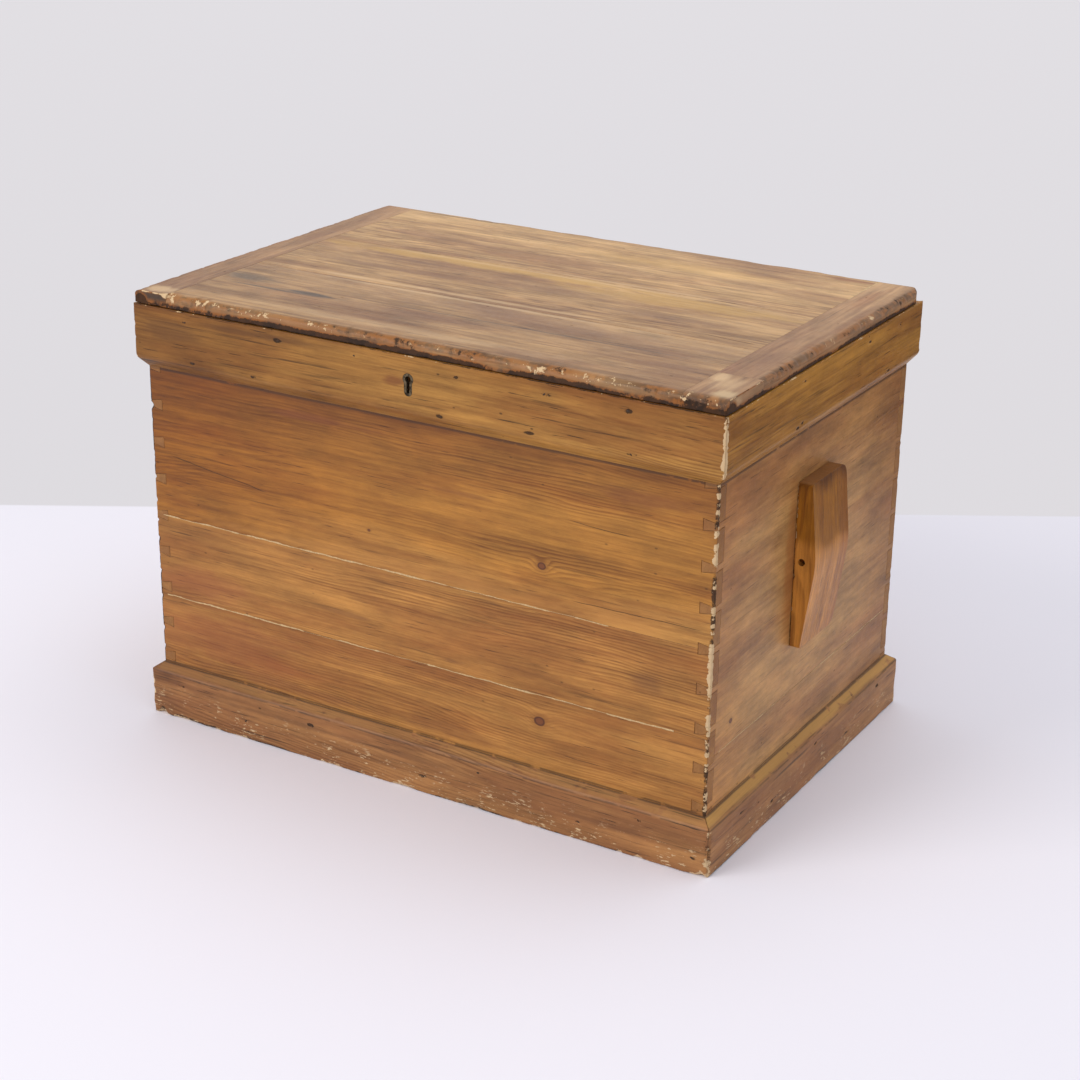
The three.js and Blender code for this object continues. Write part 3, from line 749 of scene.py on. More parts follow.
def corner_arrises(box, z0, z1, settings):
    """The four upright corners of a box, with settings for each in the order of the corners."""
    (x0, y0, _), (x1, y1, _) = box
    corners = {
        "front_left": ((x0, 1), (y0, 1)),
        "front_right": ((x1, -1), (y0, 1)),
        "back_right": ((x1, -1), (y1, -1)),
        "back_left": ((x0, 1), (y1, -1)),
    }
    made = []
    for seed, (key, (x, y)) in enumerate(corners.items()):
        step = FINE if key.startswith("front") else 2.4 * FINE
        options = {"seed": 11 * seed + int(1000 * z1), "step": step, **settings[key]}
        made.append(Arris("z", (z0, z1), x=x, y=y, **options))
    return made


def level_arrises(box, z, up, settings):
    """Level edges of a box at one height: those that have settings."""
    (x0, y0, _), (x1, y1, _) = box
    edges = {
        "front": ("x", (x0, x1), {"y": (y0, 1)}),
        "right": ("y", (y0, y1), {"x": (x1, -1)}),
        "back": ("x", (x0, x1), {"y": (y1, -1)}),
        "left": ("y", (y0, y1), {"x": (x0, 1)}),
    }
    made = {}
    for seed, (key, (axis, run, side)) in enumerate(edges.items()):
        if key in settings:
            step = FINE * {"back": 3, "left": 1.6}.get(key, 1)
            options = {"seed": 7 * seed + int(900 * z), "step": step, **settings[key]}
            made[key] = Arris(axis, run, z=(z, up), **side, **options)
    return made


def alike(*keys, **settings):
    """The same settings for several edges."""
    return dict.fromkeys(keys, settings)


CORNER_LAP = 0.01
LEFT_NOTCHES = [(0.481, 5, 3.2), (0.373, 3, 2), (0.337, 3, 1.6), (0.306, 3, 2), (0.278, 3, 1.6),
                (0.227, 3, 1.8), (0.187, 3, 1.6), (0.135, 4, 2), (0.106, 3, 1.8), (0.41, 3, 1.2)]
FOOT_NOTCHES = [(-0.447, 9, 5), (-0.405, 24, 2.2), (0.455, 8, 4)]
NOSE_NOTCHES = [(-0.395, 10, 3), (-0.352, 9, 3), (-0.338, 6, 3.4), (-0.245, 5, 2),
                (0.1, 12, 2.2), (0.2, 14, 2.6), (0.23, 8, 2.2)]
case_corners = corner_arrises(CASE, PLINTH[1][2] - CORNER_LAP, SKIRT[0][2] + CORNER_LAP, {
    "front_left": dict(radius=1.2, chips=12, size=(1.5, 4), depth=(0.3, 1),
                       notches=LEFT_NOTCHES, bare=0.2, grime=0.8, spread=2),
    "front_right": dict(radius=1.6, chips=50, size=(1.5, 4.5), depth=(0.3, 1.4), bare=0.5,
                        grime=0.66, spread=3.2),
    **alike("back_right", "back_left", radius=1.4, chips=16, size=(2, 6), depth=(0.3, 1.4),
            bare=0.35),
})
skirt_corners = corner_arrises(SKIRT, SKIRT[0][2], SKIRT[1][2], {
    "front_left": dict(radius=2.2, chips=4, size=(3, 8), depth=(0.3, 1.2), bare=0.3),
    "front_right": dict(radius=2.4, chips=14, size=(2, 6), depth=(0.3, 1.1), bare=0.66,
                        grime=0.55, spread=2.2),
    **alike("back_right", "back_left", radius=2.0, chips=4, size=(3, 8), depth=(0.3, 1.2),
            bare=0.4),
})
skirt_top = level_arrises(SKIRT, SKIRT[1][2], -1, {
    "front": dict(radius=1.0, chips=10, size=(3, 12), depth=(0.1, 0.6), bare=0.28, grime=0.7),
    **alike("right", "left", radius=1.0, chips=8, size=(3, 12), depth=(0.1, 0.6), bare=0.4),
})
plinth_corners = corner_arrises(PLINTH, PLINTH[0][2], PLINTH[1][2], {
    "front_left": dict(radius=5, chips=5, size=(4, 12), depth=(0.4, 1.8), bare=0.45),
    "front_right": dict(radius=8, chips=12, size=(2, 7), depth=(0.6, 2), bare=0.62, grime=0.42),
    **alike("back_right", "back_left", radius=4, chips=5, size=(4, 12), depth=(0.4, 1.8),
            bare=0.45),
})
plinth_foot = level_arrises(PLINTH, PLINTH[0][2], 1, {
    "front": dict(radius=2.4, chips=20, size=(5, 24), depth=(0.4, 1.6), bare=0.4, grime=0.7,
                  notches=FOOT_NOTCHES),
    "right": dict(radius=2, chips=10, size=(6, 24), depth=(0.3, 1.2), bare=0.25, grime=0.7),
    "back": dict(radius=2, chips=12, size=(6, 24), depth=(0.3, 1.2), bare=0.3, grime=0.7),
    "left": dict(radius=2, chips=10, size=(6, 24), depth=(0.3, 1.2), bare=0.3, grime=0.7),
})
lid_nosing = level_arrises(LID, LID[1][2], -1, {
    "front": dict(radius=9.2, chips=30, size=(2, 7), depth=(0.4, 1.6), bare=0.36, grime=0.38,
                  notches=NOSE_NOTCHES),
    "right": dict(radius=9.2, chips=22, size=(2, 6), depth=(0.4, 1.4), bare=0.28, grime=0.4),
    "left": dict(radius=9.2, chips=18, size=(2, 9), depth=(0.4, 1.6), bare=0.4),
})
lid_square = level_arrises(LID, LID[1][2], -1, {
    "front": dict(radius=1.6, chips=9, size=(3, 9), depth=(0.6, 2.6), bare=0.75),
    "right": dict(radius=1.2, chips=4, size=(3, 9), depth=(0.4, 1.2), bare=0.75),
    "back": dict(radius=1.8, chips=22, size=(5, 24), depth=(0.4, 1.8), bare=0.4),
})
# The dark at the lid's lower edges is painted shadow of the gap under the lid, strongest on the front
# and right
lid_foot = level_arrises(LID, LID[0][2], 1, {
    "front": dict(radius=1.6, chips=26, size=(3, 12), depth=(0.2, 1.3), bare=0.1, grime=1.3,
                  spread=4.5),
    "right": dict(radius=1.4, chips=12, size=(3, 12), depth=(0.2, 1), bare=0.1, grime=1.3,
                  spread=4),
    **alike("left", "back", radius=1.2, chips=12, size=(4, 16), depth=(0.3, 1.2), bare=0.2,
            grime=0.8),
})

# Sunk nails: places along each rail, upper row and lower row
NAILS = {
    "skirt": {
        "front": ([-0.371, -0.211, -0.086, 0.073, 0.206, 0.326],
                  [-0.361, -0.258, 0.05, 0.184, 0.332]),
        "right": ([-0.087, 0.125, 0.232], [-0.1, -0.088, 0.2]),
        "back": ([-0.38, -0.2, 0.02, 0.19, 0.37], [-0.3, -0.05, 0.12, 0.33]),
        "left": ([-0.21, -0.02, 0.19], [-0.14, 0.07, 0.23]),
    },
    "plinth": {
        "front": ([-0.405, -0.17, 0.11, 0.36], [-0.29, 0.02, 0.27, 0.44]),
        "right": ([-0.22, 0.02, 0.24], [-0.12, 0.13]),
        "back": ([-0.4, -0.13, 0.15, 0.39], [-0.26, 0.05, 0.3]),
        "left": ([-0.23, 0.0, 0.22], [-0.11, 0.12]),
    },
}
# How far each row lies below the top of its rail, and how far a nail strays from its row
ROW_DROPS = {"skirt": (15 * MM, 71.5 * MM), "plinth": (26 * MM, 55 * MM)}
ROW_SWAY = 3 * MM
# Axis that each side of the chest faces along, and which way
FACES = {"front": ("y", -1), "right": ("x", 1), "back": ("y", 1), "left": ("x", -1)}


def nail_places(rail, side):
    """Places of a rail's nails on its face, with the way into the wood."""
    low, high = RAIL_BOXES[rail]
    letter, sign = FACES[side]
    face = (high if sign > 0 else low)["xyz".index(letter)]
    places = []
    for drop, alongs in zip(ROW_DROPS[rail], NAILS[rail][side]):
        for along in alongs:
            height = high[2] - drop + ROW_SWAY * wobble([along], 0.01, 5)[0]
            if letter == "y":
                places.append(((along, face, height), (0, -sign, 0)))
            else:
                places.append(((face, along, height), (-sign, 0, 0)))
    return places


def nail_pit(place, inward, seed):
    """The dirty hollow round a sunk nail: longer along the grain, and no two alike."""
    draw = np.random.default_rng(seed)
    length, height, shift = draw.uniform(6, 15), draw.uniform(3, 4.6), draw.uniform(-3, 3)
    along = 1 if inward[0] else 0
    reach = [height, height, height]
    reach[along] = length
    middle = list(place)
    middle[along] += shift * MM
    return Pit(middle, reach, 0.7, inward, grime=draw.uniform(0.65, 1.1))


def shell(name, rings):
    """A closed mesh over rows of points: each row joins the next and both ends are capped."""
    size = len(rings[0])
    points = [point for ring in rings for point in ring]
    faces = [tuple(range(size)), tuple(range(len(points) - size, len(points)))]
    for first in range(0, len(points) - size, size):
        for i in range(size):
            a, b = first + i, first + (i + 1) % size
            faces.append((a, b, b + size, a + size))
    mesh = bpy.data.meshes.new(name)
    mesh.from_pydata(points, [], faces)
    return mesh


def joined(name, meshes):
    """One mesh of all the meshes, with every face turned outward."""
    whole = bmesh.new()
    for mesh in meshes:
        whole.from_mesh(mesh)
        bpy.data.meshes.remove(mesh)
    bmesh.ops.recalc_face_normals(whole, faces=whole.faces)
    made = bpy.data.meshes.new(name)
    whole.to_mesh(made)
    whole.free()
    return made


NAIL_SIDES = 8
NAIL_LAYERS = ((0.3, 0.8), (0.6, 1.0), (1.9, 0.9))


def nail_head(middle, inward, seed):
    """The uneven rectangular head of a cut nail, set a little below the face."""
    draw = np.random.default_rng(seed)
    inward = Vector(inward)
    turn = Matrix.Rotation(draw.uniform(-0.5, 0.5), 3, inward)
    across = turn @ Vector((0, 0, 1))
    along = turn @ inward.cross(across)
    length, width = draw.uniform(1.7, 2.6) * MM, draw.uniform(1.1, 1.6) * MM
    rings = []
    for depth, grow in NAIL_LAYERS:
        ring = []
        for i in range(NAIL_SIDES):
            angle = 2 * math.pi * (i + 0.5) / NAIL_SIDES
            cos, sin = math.cos(angle), math.sin(angle)
            square = grow * draw.uniform(0.9, 1.1) / max(abs(cos), abs(sin)) ** 0.75
            flat = along * (length * cos * square) + across * (width * sin * square)
            ring.append(Vector(middle) + flat + inward * depth * MM)
        rings.append(ring)
    return shell("nail", rings)


def nail_heads(name, places, material, body):
    heads = [nail_head(*place, 90 + i) for i, place in enumerate(places)]
    new_piece(joined(name, heads), material, body)


SCREW_RADIUS = 3.1
SCREW_SLOT = 0.9
SCREW_LAYERS = ((0.16, 0.93), (0.08, 1.0), (-0.5, 0.8))
SCREW_SET_IN = 8 * MM
LEAF_SCREW_SHARES = (-0.38, -0.14, 0.14, 0.38)


def screw_halves(middle, out, turn):
    """A slotted screw head, as two halves with the slot between them."""
    out = Vector(out)
    along = Matrix.Rotation(turn, 3, out) @ out.orthogonal().normalized()
    across = out.cross(along)
    start = math.asin(SCREW_SLOT / SCREW_RADIUS / 2)
    halves = []
    for sign in (1, -1):
        rings = []
        for lift, grow in SCREW_LAYERS:
            size = SCREW_RADIUS * grow * MM
            rings.append([
                Vector(middle) + out * lift * MM
                + (along * math.cos(angle) + across * (sign * math.sin(angle))) * size
                for angle in np.linspace(start, math.pi - start, 9)
            ])
        halves.append(shell("screw", rings))
    return halves


def screw_places():
    """Middles and ways out of the screws of the hinges and the lock, by body."""
    up, down, inside = (0, 0, 1), (0, 0, -1), (0, 1, 0)
    places = {"case": [], "lid": []}
    for side in ("left", "right"):
        low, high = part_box(f"hinge_{side}_lid_leaf")
        for share in LEAF_SCREW_SHARES:
            x = (low.x + high.x) / 2 + share * (high.x - low.x)
            places["case"].append(((x, low.y + SCREW_SET_IN, CASE[1][2]), up))
            places["lid"].append(((x, low.y + SCREW_SET_IN, LID[0][2]), down))
    for body, node, z, out in (("case", "lock_top_plate", CASE[1][2], up),
                               ("lid", "lock_link_plate", LID[0][2], down)):
        low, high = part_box(node)
        for x in (low.x + SCREW_SET_IN, high.x - SCREW_SET_IN):
            places[body].append(((x, (low.y + high.y) / 2, z), out))
    low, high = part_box("lock_case")
    for x in (low.x + SCREW_SET_IN, high.x - SCREW_SET_IN):
        for z in (low.z + SCREW_SET_IN, high.z - SCREW_SET_IN):
            places["case"].append(((x, high.y, z), inside))
    return places


def screws(material):
    for body, places in screw_places().items():
        halves = []
        for i, (middle, out) in enumerate(places):
            halves += screw_halves(middle, out, 0.7 * i)
        new_piece(joined(f"{body}_screws", halves), material, body)


BEAD_SECTION = ((-1, -0.5), (-0.8, 0.06), (0, 0.2), (0.8, 0.06), (1, -0.5))
BEAD_STEP = 2.5 * MM


def filler(name, body, material, along, run, face, joint, width=1.5, gaps=(), seed=3):
    """A thin uneven line of filler in a glued joint.

    It runs along an axis. The face is an axis, a place and the way out, and the joint
    an axis and a place."""
    run_axis, face_axis, joint_axis = ["xyz".index(word[0]) for word in (along, face, joint)]
    stations = np.linspace(*run, int((run[1] - run[0]) / BEAD_STEP))
    middles = joint[1] + 0.7 * MM * wobble(stations, 0.03, seed)
    middles += 0.35 * MM * wobble(stations, 0.006, seed + 1)
    halves = width * MM * (0.75 + 0.45 * wobble(stations, 0.02, seed + 2))
    halves *= 1 + 0.35 * wobble(stations, 0.005, seed + 3)
    for start, end in gaps:
        halves[(stations > start) & (stations < end)] *= 0.25
    halves = np.maximum(halves, 0.12 * MM)
    rings = []
    for station, middle, half in zip(stations, middles, halves):
        ring = []
        for across, out in BEAD_SECTION:
            point = Vector((0, 0, 0))
            point[run_axis] = station
            point[joint_axis] = middle + across * half
            point[face_axis] = face[1] + face[2] * out * MM
            ring.append(point)
        rings.append(ring)
    new_piece(joined(name, [shell(name, rings)]), material, body)


# Timber of each piece

SHADOW = 1.5 * MM
# Dark lines on the case: dirt in the joint just above the plinth, and under the skirt a painted
# shadow of the skirt with dirt in the crevice
CASE_DIRT_AND_SHADOW_LINES = (
    (PLINTH[1][2] + SHADOW, 0.0022, 0.62, 0.4, (56, 37, 22)),
    (SKIRT[0][2] - SHADOW, 0.003, 0.65, 0.2, (58, 38, 24)),
)
# The second tint is painted shade: the front boards darker toward the left end, away from the soft
# sheen in the middle
FRONT_TINTS = (("z", 0.34, 0.3, (244, 226, 216), 0.3), ("x", 0.1, -0.5, (240, 236, 228), 0.6))
FRONT_BOARDS = {
    "lower": dict(
        pith=(-0.2, -0.4), seed=1.7, lean=0.01, tints=FRONT_TINTS,
        knots=[(0.199, 0.152, 8)],
        stains=[(-0.33, 0.14, 0.16, 0.05, 0.35, (146, 76, 44)),
                (0.06, 0.1, 0.12, 0.012, 0.4, (110, 62, 34)),
                (-0.2, 0.095, 0.2, 0.01, 0.4, (120, 68, 38))]),
    "middle": dict(
        pith=(0.0, -0.18), seed=3.1, lean=-0.012, tints=FRONT_TINTS,
        stains=[(0.06, 0.206, 0.03, 0.004, 0.5, (98, 58, 36)),
                (-0.12, 0.235, 0.05, 0.004, 0.4, (112, 68, 40)),
                (0.36, 0.25, 0.03, 0.02, 0.35, (110, 70, 44)),
                (-0.38, 0.22, 0.1, 0.03, 0.3, (150, 80, 52))]),
    "upper": dict(
        pith=(0.26, -0.16), seed=5.3, lean=0.06,
        knots=[(0.199, 0.377, 6), (-0.075, 0.369, 2.2)],
        tints=[("z", 0.46, 0.55, (176, 150, 126), 0.7), ("z", 0.33, 0.38, (242, 232, 200), 1.0),
               # Darker toward the left end: painted shade away from the sheen in the middle, with a
               # deeper colour of the wood
               ("x", 0.15, -0.45, (214, 188, 112), 0.85)],
        stains=[(-0.17, 0.513, 0.1, 0.008, 0.5, (116, 62, 36)),
                (0.35, 0.5, 0.09, 0.012, 0.45, (110, 58, 34)),
                (0.08, 0.452, 0.06, 0.005, 0.35, (126, 76, 42)),
                (-0.06, 0.326, 0.34, 0.012, 0.3, (196, 138, 70)),
                (0.33, 0.322, 0.1, 0.018, 0.35, (206, 146, 74))],
        cracks=[(-0.424, -0.242, 0.411, 0.388, 0.001),
                (0.24, 0.44, 0.338, 0.342, 0.0009),
                (0.23, 0.34, 0.45, 0.444, 0.0007)]),
}
BACK_PITHS = {"lower": (0.12, 0.24), "middle": (0.33, 0.25), "upper": (0.55, 0.22)}
END_BOARDS = dict(
    bands=1.2, streak=0.35, end=(124, 82, 42), rim=0.24, rings=0.5, dashes=0.7, mottle=1.9,
    tints=[("y", 0.1, 0.3, (226, 212, 196), 1.0), ("y", -0.15, -0.3, (240, 220, 190), 0.7),
           ("z", 0.44, 0.54, (236, 220, 196), 0.8)],
    # The two patches beside the rope cleat are painted shade: the cleat's shadow and the reflection
    # of its orange end
    stains=[(-0.072, 0.36, 0.022, 0.13, 0.6, (150, 90, 44)),
            (0.055, 0.33, 0.012, 0.11, 0.4, (128, 84, 50))],
)
END_KNOTS = {"case_right_board_upper": [(-0.236, 0.193, 4)]}


def front_boards():
    for part, looks in FRONT_BOARDS.items():
        timber(f"case_front_board_{part}", "case_front", "xzy", wears=case_corners, inside="case",
               seams=CASE_DIRT_AND_SHADOW_LINES, streak_from=0.57, dashes=0.75, rim=0.24, **looks)


def back_boards():
    for i, (part, pith) in enumerate(BACK_PITHS.items()):
        knots = [(-0.21 + 0.19 * i, pith[0] + 0.03, 7), (0.3 - 0.14 * i, pith[0] - 0.05, 5)]
        timber(f"case_back_board_{part}", "case_front", "xzy", pith, case_corners,
               inside="case", knots=knots, seed=8.1 + i)


def end_boards():
    for side, sign in (("right", 1), ("left", -1)):
        for i, part in enumerate(("lower", "upper")):
            node = f"case_{side}_board_{part}"
            timber(node, "case_side", "yzx", (0.72, -sign * 0.3), case_corners, inside="case",
                   knots=END_KNOTS.get(node, ()), seams=CASE_DIRT_AND_SHADOW_LINES, seed=11.3 + 2 * i + sign,
                   **END_BOARDS)


def floor_boards():
    for i, name in enumerate(n for n in frame["nodes"] if n.startswith("floor_")):
        axes = "xyz" if "fillet" in name else "yxz"
        timber(name, "raw_pine", axes, (0.3 - 0.1 * i, 0.16), seed=21.0 + i, rough=0.62,
               coat=0.0, streak=0.3, mottle=0.6)


RAIL_LOOKS = {
    "skirt": dict(bands=1.6, specular=0.2, coat=0.03),
    "plinth": dict(bands=1.5, rough=0.5, scuffs=(0.016, 0.06, 0.12)),
}
RAIL_TINTS = {
    # The first skirt_front tint and the plinth_front tint are painted shade: darker toward the left
    # end, away from the soft sheen in the middle
    "skirt_front": (("x", 0.1, -0.4, (206, 196, 188), 1.0), ("z", 0.6, 0.632, (216, 200, 184), 0.8)),
    "skirt_right": (("z", 0.5, 0.52, (255, 246, 200), 1.0),),
    "plinth_front": (("x", 0.3, -0.45, (228, 222, 222), 1.0),),
}
RAIL_STAINS = {
    "skirt_front": [(-0.022, 0.594, 0.018, 0.009, 0.6, (112, 60, 34)),
                    (-0.4, 0.6, 0.06, 0.02, 0.5, (96, 62, 34)),
                    (-0.24, 0.62, 0.14, 0.006, 0.5, (88, 56, 32)),
                    (0.36, 0.55, 0.08, 0.006, 0.35, (120, 76, 40))],
    "plinth_front": [(-0.1, 0.05, 0.3, 0.005, 0.35, (100, 64, 40)),
                     (0.3, 0.035, 0.1, 0.006, 0.35, (104, 66, 42))],
}
# The plinth's bevel, painted golden as a highlight, and the dark lines above and below it, from the
# plinth's top
BEVEL_DROP = 4.5 * MM
TOP_LINE_DROP = 0.5 * MM
LOW_LINE_DROP = 12 * MM
BEVEL_SHINE = 0.16
RIGHT_BEVEL_SHINE = 0.65
PITH_DEPTH = 0.2
PITH_LIFT = 0.16


def plinth_highlight_and_lines(side):
    top = PLINTH[1][2]
    shine = RIGHT_BEVEL_SHINE if side == "right" else BEVEL_SHINE
    return (
        # Painted highlight along the bevel, stronger on the right side
        (top - BEVEL_DROP, 0.006, shine, 0.4, (196, 148, 74)),
        (top - TOP_LINE_DROP, 0.0016, 0.62, 0.4, (56, 37, 22)),
        (top - LOW_LINE_DROP, 0.0016, 0.45, 0.8, (56, 36, 22)),
    )


def rails():
    wears = {
        "skirt": skirt_corners + list(skirt_top.values()),
        "plinth": plinth_corners + list(plinth_foot.values()),
    }
    for i, side in enumerate(FACES):
        axes = "xzy" if FACES[side][0] == "y" else "yzx"
        for rail, (low, high) in RAIL_BOXES.items():
            node = f"{rail}_{side}"
            pith = ((low[2] + high[2]) / 2 + PITH_LIFT, FACES[side][1] * PITH_DEPTH)
            pits = [nail_pit(*nail, 17 * i + j) for j, nail in enumerate(nail_places(rail, side))]
            timber(node, rail, axes, pith, wears[rail] + pits, seed=31.0 + 3 * i,
                   tints=RAIL_TINTS.get(node, ()), stains=RAIL_STAINS.get(node, ()),
                   seams=plinth_highlight_and_lines(side) if rail == "plinth" else (), streak=0.8,
                   streak_from=0.56, specks=0.8, dashes=0.9, **RAIL_LOOKS[rail])


LID_YELLOW = (196, 152, 84)
LID_GREY = (84, 72, 62)
LID_BROWN = (128, 92, 68)
LID_PALE = (214, 178, 134)
LID_LOOKS = dict(inside="lid", nose=0.97, coat=0.03, specular=0.24)
# Painted reflection: the lid and its clamps darker toward the front, where they show less sheen than
# at the back
LID_PAINTED_SHEEN_FALLOFF = (("y", 0.32, -0.2, (222, 216, 214), 1.0),)
CLAMP_PAINTED_SHEEN_FALLOFF = (("y", 0.5, 0.0, (214, 208, 210), 1.0),)
LID_BOARDS = {
    "front": dict(pith=(-0.2, 0.45), seed=41.0, stains=[
        (0.09, -0.138, 0.3, 0.026, 0.45, LID_BROWN),
        (-0.24, -0.198, 0.06, 0.009, 0.9, LID_GREY),
        (-0.36, -0.17, 0.06, 0.02, 0.65, LID_GREY),
        (-0.3, -0.205, 0.1, 0.006, 0.7, LID_GREY),
        (-0.1, -0.205, 0.14, 0.012, 0.45, LID_BROWN),
        (0.34, -0.219, 0.05, 0.01, 0.5, LID_BROWN),
        (0.1, -0.18, 0.3, 0.003, 0.5, LID_GREY),
        (-0.05, -0.108, 0.34, 0.005, 0.5, LID_PALE),
        (0.25, -0.29, 0.18, 0.008, 0.55, (104, 72, 48)),
        (-0.2, -0.293, 0.22, 0.006, 0.5, (112, 78, 52)),
        (-0.02, -0.27, 0.3, 0.014, 0.3, LID_PALE)]),
    "middle": dict(pith=(-0.01, 0.42), seed=43.0, cracks=[(0.3, 0.39, -0.07, -0.08, 0.0012)], stains=[
        (-0.14, 0.066, 0.32, 0.02, 0.7, LID_YELLOW),
        (0.2, 0.045, 0.2, 0.034, 0.6, LID_YELLOW),
        (-0.02, 0.075, 0.42, 0.004, 0.4, LID_PALE),
        (-0.22, 0.03, 0.13, 0.006, 0.55, LID_BROWN),
        (0.01, 0.003, 0.1, 0.022, 0.6, LID_BROWN),
        (-0.2, -0.02, 0.22, 0.012, 0.6, LID_BROWN),
        (0.24, -0.03, 0.12, 0.012, 0.5, LID_BROWN),
        (-0.06, -0.088, 0.36, 0.006, 0.5, LID_PALE),
        (0.1, -0.06, 0.1, 0.005, 0.4, LID_BROWN)]),
    "back": dict(pith=(0.2, 0.45), seed=47.0, stains=[
        (-0.35, 0.165, 0.05, 0.004, 0.7, LID_BROWN),
        (-0.2, 0.163, 0.14, 0.004, 0.35, LID_BROWN),
        (0.15, 0.088, 0.22, 0.004, 0.45, LID_PALE),
        (0.36, 0.285, 0.05, 0.01, 0.6, (124, 66, 38)),
        (-0.3, 0.296, 0.14, 0.004, 0.5, LID_GREY),
        (0.1, 0.22, 0.2, 0.03, 0.3, LID_YELLOW)]),
}
CLAMP_STAINS = {
    "left": [(-0.29, -0.43, 0.018, 0.03, 0.7, LID_PALE)],
    "right": [(-0.13, 0.43, 0.05, 0.02, 0.4, LID_BROWN),
              (0.05, 0.446, 0.22, 0.006, 0.5, (116, 74, 48)),
              (0.2, 0.42, 0.06, 0.012, 0.4, (150, 96, 62))],
    "repair": [(-0.25, 0.43, 0.035, 0.024, 0.45, LID_PALE),
               (-0.29, 0.445, 0.02, 0.02, 0.5, (222, 192, 146)),
               (-0.27, 0.415, 0.03, 0.005, 0.5, LID_BROWN),
               (-0.225, 0.41, 0.02, 0.012, 0.6, LID_PALE)],
}
CLAMP_PITH_HEIGHT = 0.42
LID_PATCH_LIFT = 6 * MM
BLOCK_SET_IN = 12 * MM
STRETCH_SET_IN = 51 * MM


def lid_dark_patches():
    """Dark patches low on the lid's edge: a stretch near the right end and a block at each corner."""
    (x0, y0, z0), (x1, _, _) = LID
    z = z0 + LID_PATCH_LIFT
    from_front, from_right = (0, 1, 0), (-1, 0, 0)
    return {
        "stretch": Pit((x1 - STRETCH_SET_IN, y0, z), (46, 5, 11), 0.3, from_front, grime=0.85),
        "left": Pit((x0 + BLOCK_SET_IN, y0, z), (16, 4, 12), 0.3, from_front, grime=1.4),
        "repair": Pit((x1, y0 + BLOCK_SET_IN, z), (4, 18, 12), 0.3, from_right, grime=1.4),
    }


def lid_boards(grime):
    wears = [lid_nosing["front"], lid_square["back"], lid_foot["front"], lid_foot["back"],
             grime["stretch"]]
    for part, looks in LID_BOARDS.items():
        timber(f"lid_board_{part}", "lid", "xyz", wears=wears, streak_from=0.57, blotch=0.7,
               bands=1.7, streak=0.5, dashes=0.75, tints=LID_PAINTED_SHEEN_FALLOFF, **LID_LOOKS, **looks)


def lid_clamps(grime):
    clamps = {
        "left": [lid_nosing["left"], lid_square["front"], lid_foot["left"], lid_foot["front"],
                 grime["left"]],
        "right": [lid_nosing["right"], lid_foot["right"]],
        "repair": [lid_nosing["front"], lid_square["right"], lid_foot["right"],
                   lid_foot["front"], grime["repair"], grime["stretch"]],
    }
    for i, (part, wears) in enumerate(clamps.items()):
        pith = (LID[0][0] if part == "left" else LID[1][0], CLAMP_PITH_HEIGHT)
        timber(f"lid_clamp_{part}", "lid_clamp", "yxz", pith, wears + [lid_square["back"]],
               stains=CLAMP_STAINS[part], seed=51.0 + 2 * i, end=(52, 42, 34), end_share=0.85,
               tints=CLAMP_PAINTED_SHEEN_FALLOFF, dashes=0.5, **LID_LOOKS)


# The first tint is painted shade: the cleat's upper slope made darker, as it shows little sheen; the
# second darkens its top
CLEAT_TINTS = (("z", 0.36, 0.38, (214, 206, 140), 1.0), ("z", 0.44, 0.475, (150, 130, 110), 0.9))


def cleats():
    for side, out in (("right", 1), ("left", -1)):
        node = f"rope_cleat_{side}"
        low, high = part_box(node)
        wall = low.x if side == "right" else high.x
        wears = [
            Arris("z", (low.z, high.z), 1.2, chips=16, size=(2, 6), depth=(0.2, 0.8),
                  bare=0.45, grime=0.6, spread=1.2, seed=5 + i, x=(wall, out), y=edge)
            for i, edge in enumerate(((low.y, 1), (high.y, -1)))
        ]
        timber(node, "cleat", "zyx", (0.0, wall), wears, ease=2.2, seed=61.0, coat=0.1,
               rough=0.4, tints=CLEAT_TINTS, dashes=0.5)


def metal():
    dark = iron("browned_iron", (66, 56, 48), (96, 62, 42))
    brass = iron("tarnished_brass", (106, 92, 70), (58, 48, 36))
    for name, node in frame["nodes"].items():
        if name.startswith(("hinge_", "lock_")):
            cover(node.data, dark)
        if name == "keyhole_ring":
            cover(node.data, brass)
    for side in FACES:
        for rail in RAIL_BOXES:
            nail_heads(f"{rail}_{side}_nails", nail_places(rail, side), dark, "case")
    screws(dark)


FILLER_SET_IN = 12 * MM


def fillers():
    cream = filler_material()
    front = ("y", CASE[0][1], -1)
    left = CASE[0][0] + FILLER_SET_IN
    joint_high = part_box("case_front_board_upper")[0].z
    joint_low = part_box("case_front_board_lower")[1].z
    joint_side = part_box("case_right_board_lower")[1].z
    joint_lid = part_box("lid_clamp_right")[0].x
    filler("joint_filler_front_high", "case", cream, "x", run=(left, 0.3), face=front,
           joint=("z", joint_high), width=1.2, seed=3,
           gaps=[(-0.3, -0.285), (0.05, 0.062), (0.21, 0.25)])
    filler("joint_filler_front_low", "case", cream, "x", run=(left, 0.4), face=front,
           joint=("z", joint_low), width=1.15, seed=13,
           gaps=[(-0.19, -0.13), (-0.06, 0.02), (0.28, 0.3)])
    filler("joint_filler_right", "case", cream, "y", run=(-0.27, 0.28),
           face=("x", CASE[1][0], 1), joint=("z", joint_side), width=0.8, seed=23,
           gaps=[(-0.1, 0.02), (0.1, 0.14)])
    filler("joint_filler_lid", "lid", cream, "y", run=(0.19, LID[1][1] - 4 * MM),
           face=("z", LID[1][2], 1), joint=("x", joint_lid), width=1.6, seed=33)


# Floor, light and camera

STAGE_REACH = 14.0
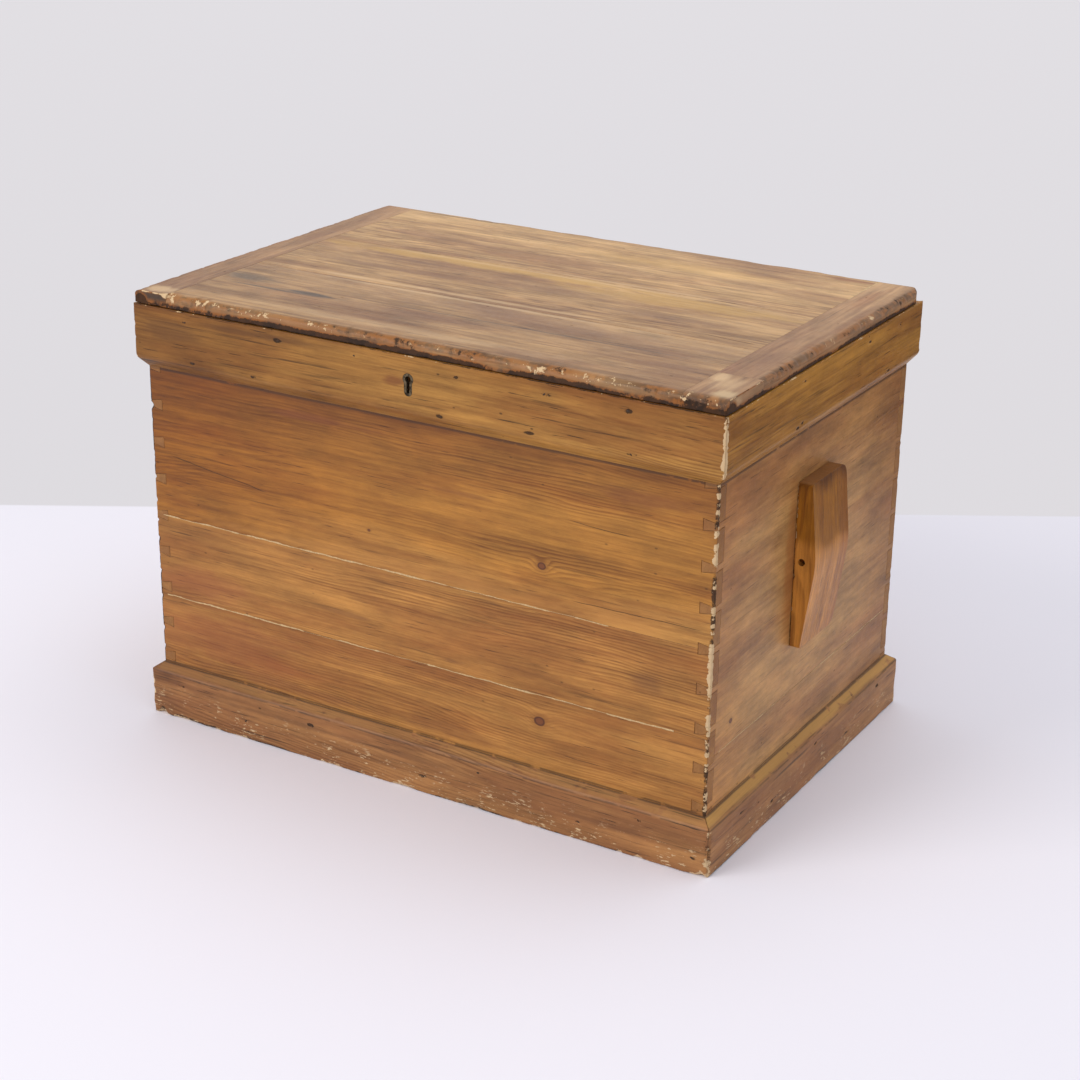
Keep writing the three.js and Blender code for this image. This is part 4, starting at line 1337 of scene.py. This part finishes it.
# The wall behind the chest starts past a line on the ground: its direction and distance
WALL_WAY = (-0.516, 0.857)
WALL_DISTANCE = 0.825
WALL_BLUR = 0.004
MAT_LIFT = 2 * MM
MAT_CORNERS = ((0.66, 1.5), (1.0, 0.72), (3.6, 0.72), (3.6, 4.5), (0.66, 4.5))
LIGHT_TARGET = (0, 0, 0.3)
LIGHTS = {
    "key": dict(place=(-2.6, -4.6, 3.7), size=3.5, energy=172, tone=(1.0, 0.98, 0.95)),
    "top": dict(place=(0.6, 0.6, 3.4), size=2.4, energy=30, tone=(1.0, 1.0, 1.0)),
}
SKY_TONE = (0.93, 0.96, 1.0, 1.0)
SKY_STRENGTH = 0.72


def sheet_on_floor(name, corners, height, material):
    """A flat staged sheet with one face."""
    mesh = bpy.data.meshes.new(name)
    mesh.from_pydata([(x, y, height) for x, y in corners], [], [tuple(range(len(corners)))])
    mesh.materials.append(material)
    made = placed(name, mesh)
    return made


def floor():
    """Pale ground that turns into an even, cooler wall behind the chest."""
    g = Graph("floor")
    x, y, _ = g.split(g.place)
    past = y * WALL_WAY[1] + x * WALL_WAY[0] - WALL_DISTANCE
    wall = g.fade(past, -WALL_BLUR, WALL_BLUR)
    g.shade({
        "Base Color": g.mix(wall, rgb(238, 234, 242), rgb(0, 0, 0)),
        "Emission Color": rgb(218, 215, 219),
        "Emission Strength": wall,
        "Roughness": 0.6,
        "Specular IOR Level": 0.2,
    })
    r = STAGE_REACH
    sheet_on_floor("floor", ((-r, -r), (r, -r), (r, r), (-r, r)), 0, g.material)


def dark_mat():
    """A dark mat on the floor, out of view to the right, that dulls the sheen of that end."""
    g = Graph("dark_mat")
    g.shade({"Base Color": rgb(40, 38, 36), "Roughness": 0.9})
    mat = sheet_on_floor("dark_mat", MAT_CORNERS, MAT_LIFT, g.material)
    mat.visible_camera = False
    mat.visible_diffuse = False
    mat.visible_shadow = False


def lights():
    world = bpy.data.worlds.new("studio")
    bpy.context.scene.world = world
    world.use_nodes = True
    background = world.node_tree.nodes["Background"]
    background.inputs["Color"].default_value = SKY_TONE
    background.inputs["Strength"].default_value = SKY_STRENGTH
    for name, settings in LIGHTS.items():
        light = bpy.data.lights.new(name, "AREA")
        light.shape = "SQUARE"
        light.size = settings["size"]
        light.energy = settings["energy"]
        light.color = settings["tone"]
        lamp = placed(name, light)
        lamp.location = settings["place"]
        aim = Vector(LIGHT_TARGET) - Vector(settings["place"])
        lamp.rotation_euler = aim.to_track_quat("-Z", "Y").to_euler()


def camera():
    cos, sin = math.cos, math.sin
    yaw, pitch, roll = CAMERA_YAW, CAMERA_PITCH, CAMERA_ROLL
    forward = Vector((-sin(yaw) * cos(pitch), cos(yaw) * cos(pitch), -sin(pitch)))
    right = Vector((cos(yaw), sin(yaw), 0))
    up = right.cross(forward)
    turned_right = right * cos(roll) + up * sin(roll)
    turned_up = up * cos(roll) - right * sin(roll)
    data = bpy.data.cameras.new("camera")
    data.lens = CAMERA_LENS
    data.sensor_width = CAMERA_SENSOR
    made = placed("camera", data)
    axes = Matrix((turned_right, turned_up, -forward)).transposed().to_4x4()
    made.matrix_world = Matrix.Translation(CAMERA_PLACE) @ axes
    bpy.context.scene.camera = made


camera()
floor()
dark_mat()
lights()
front_boards()
back_boards()
end_boards()
floor_boards()
rails()
lid_boards(lid_dark_patches())
lid_clamps(lid_dark_patches())
cleats()
metal()
fillers()

bpy.context.scene.view_settings.view_transform = "Standard"

bpy.context.view_layer.update()
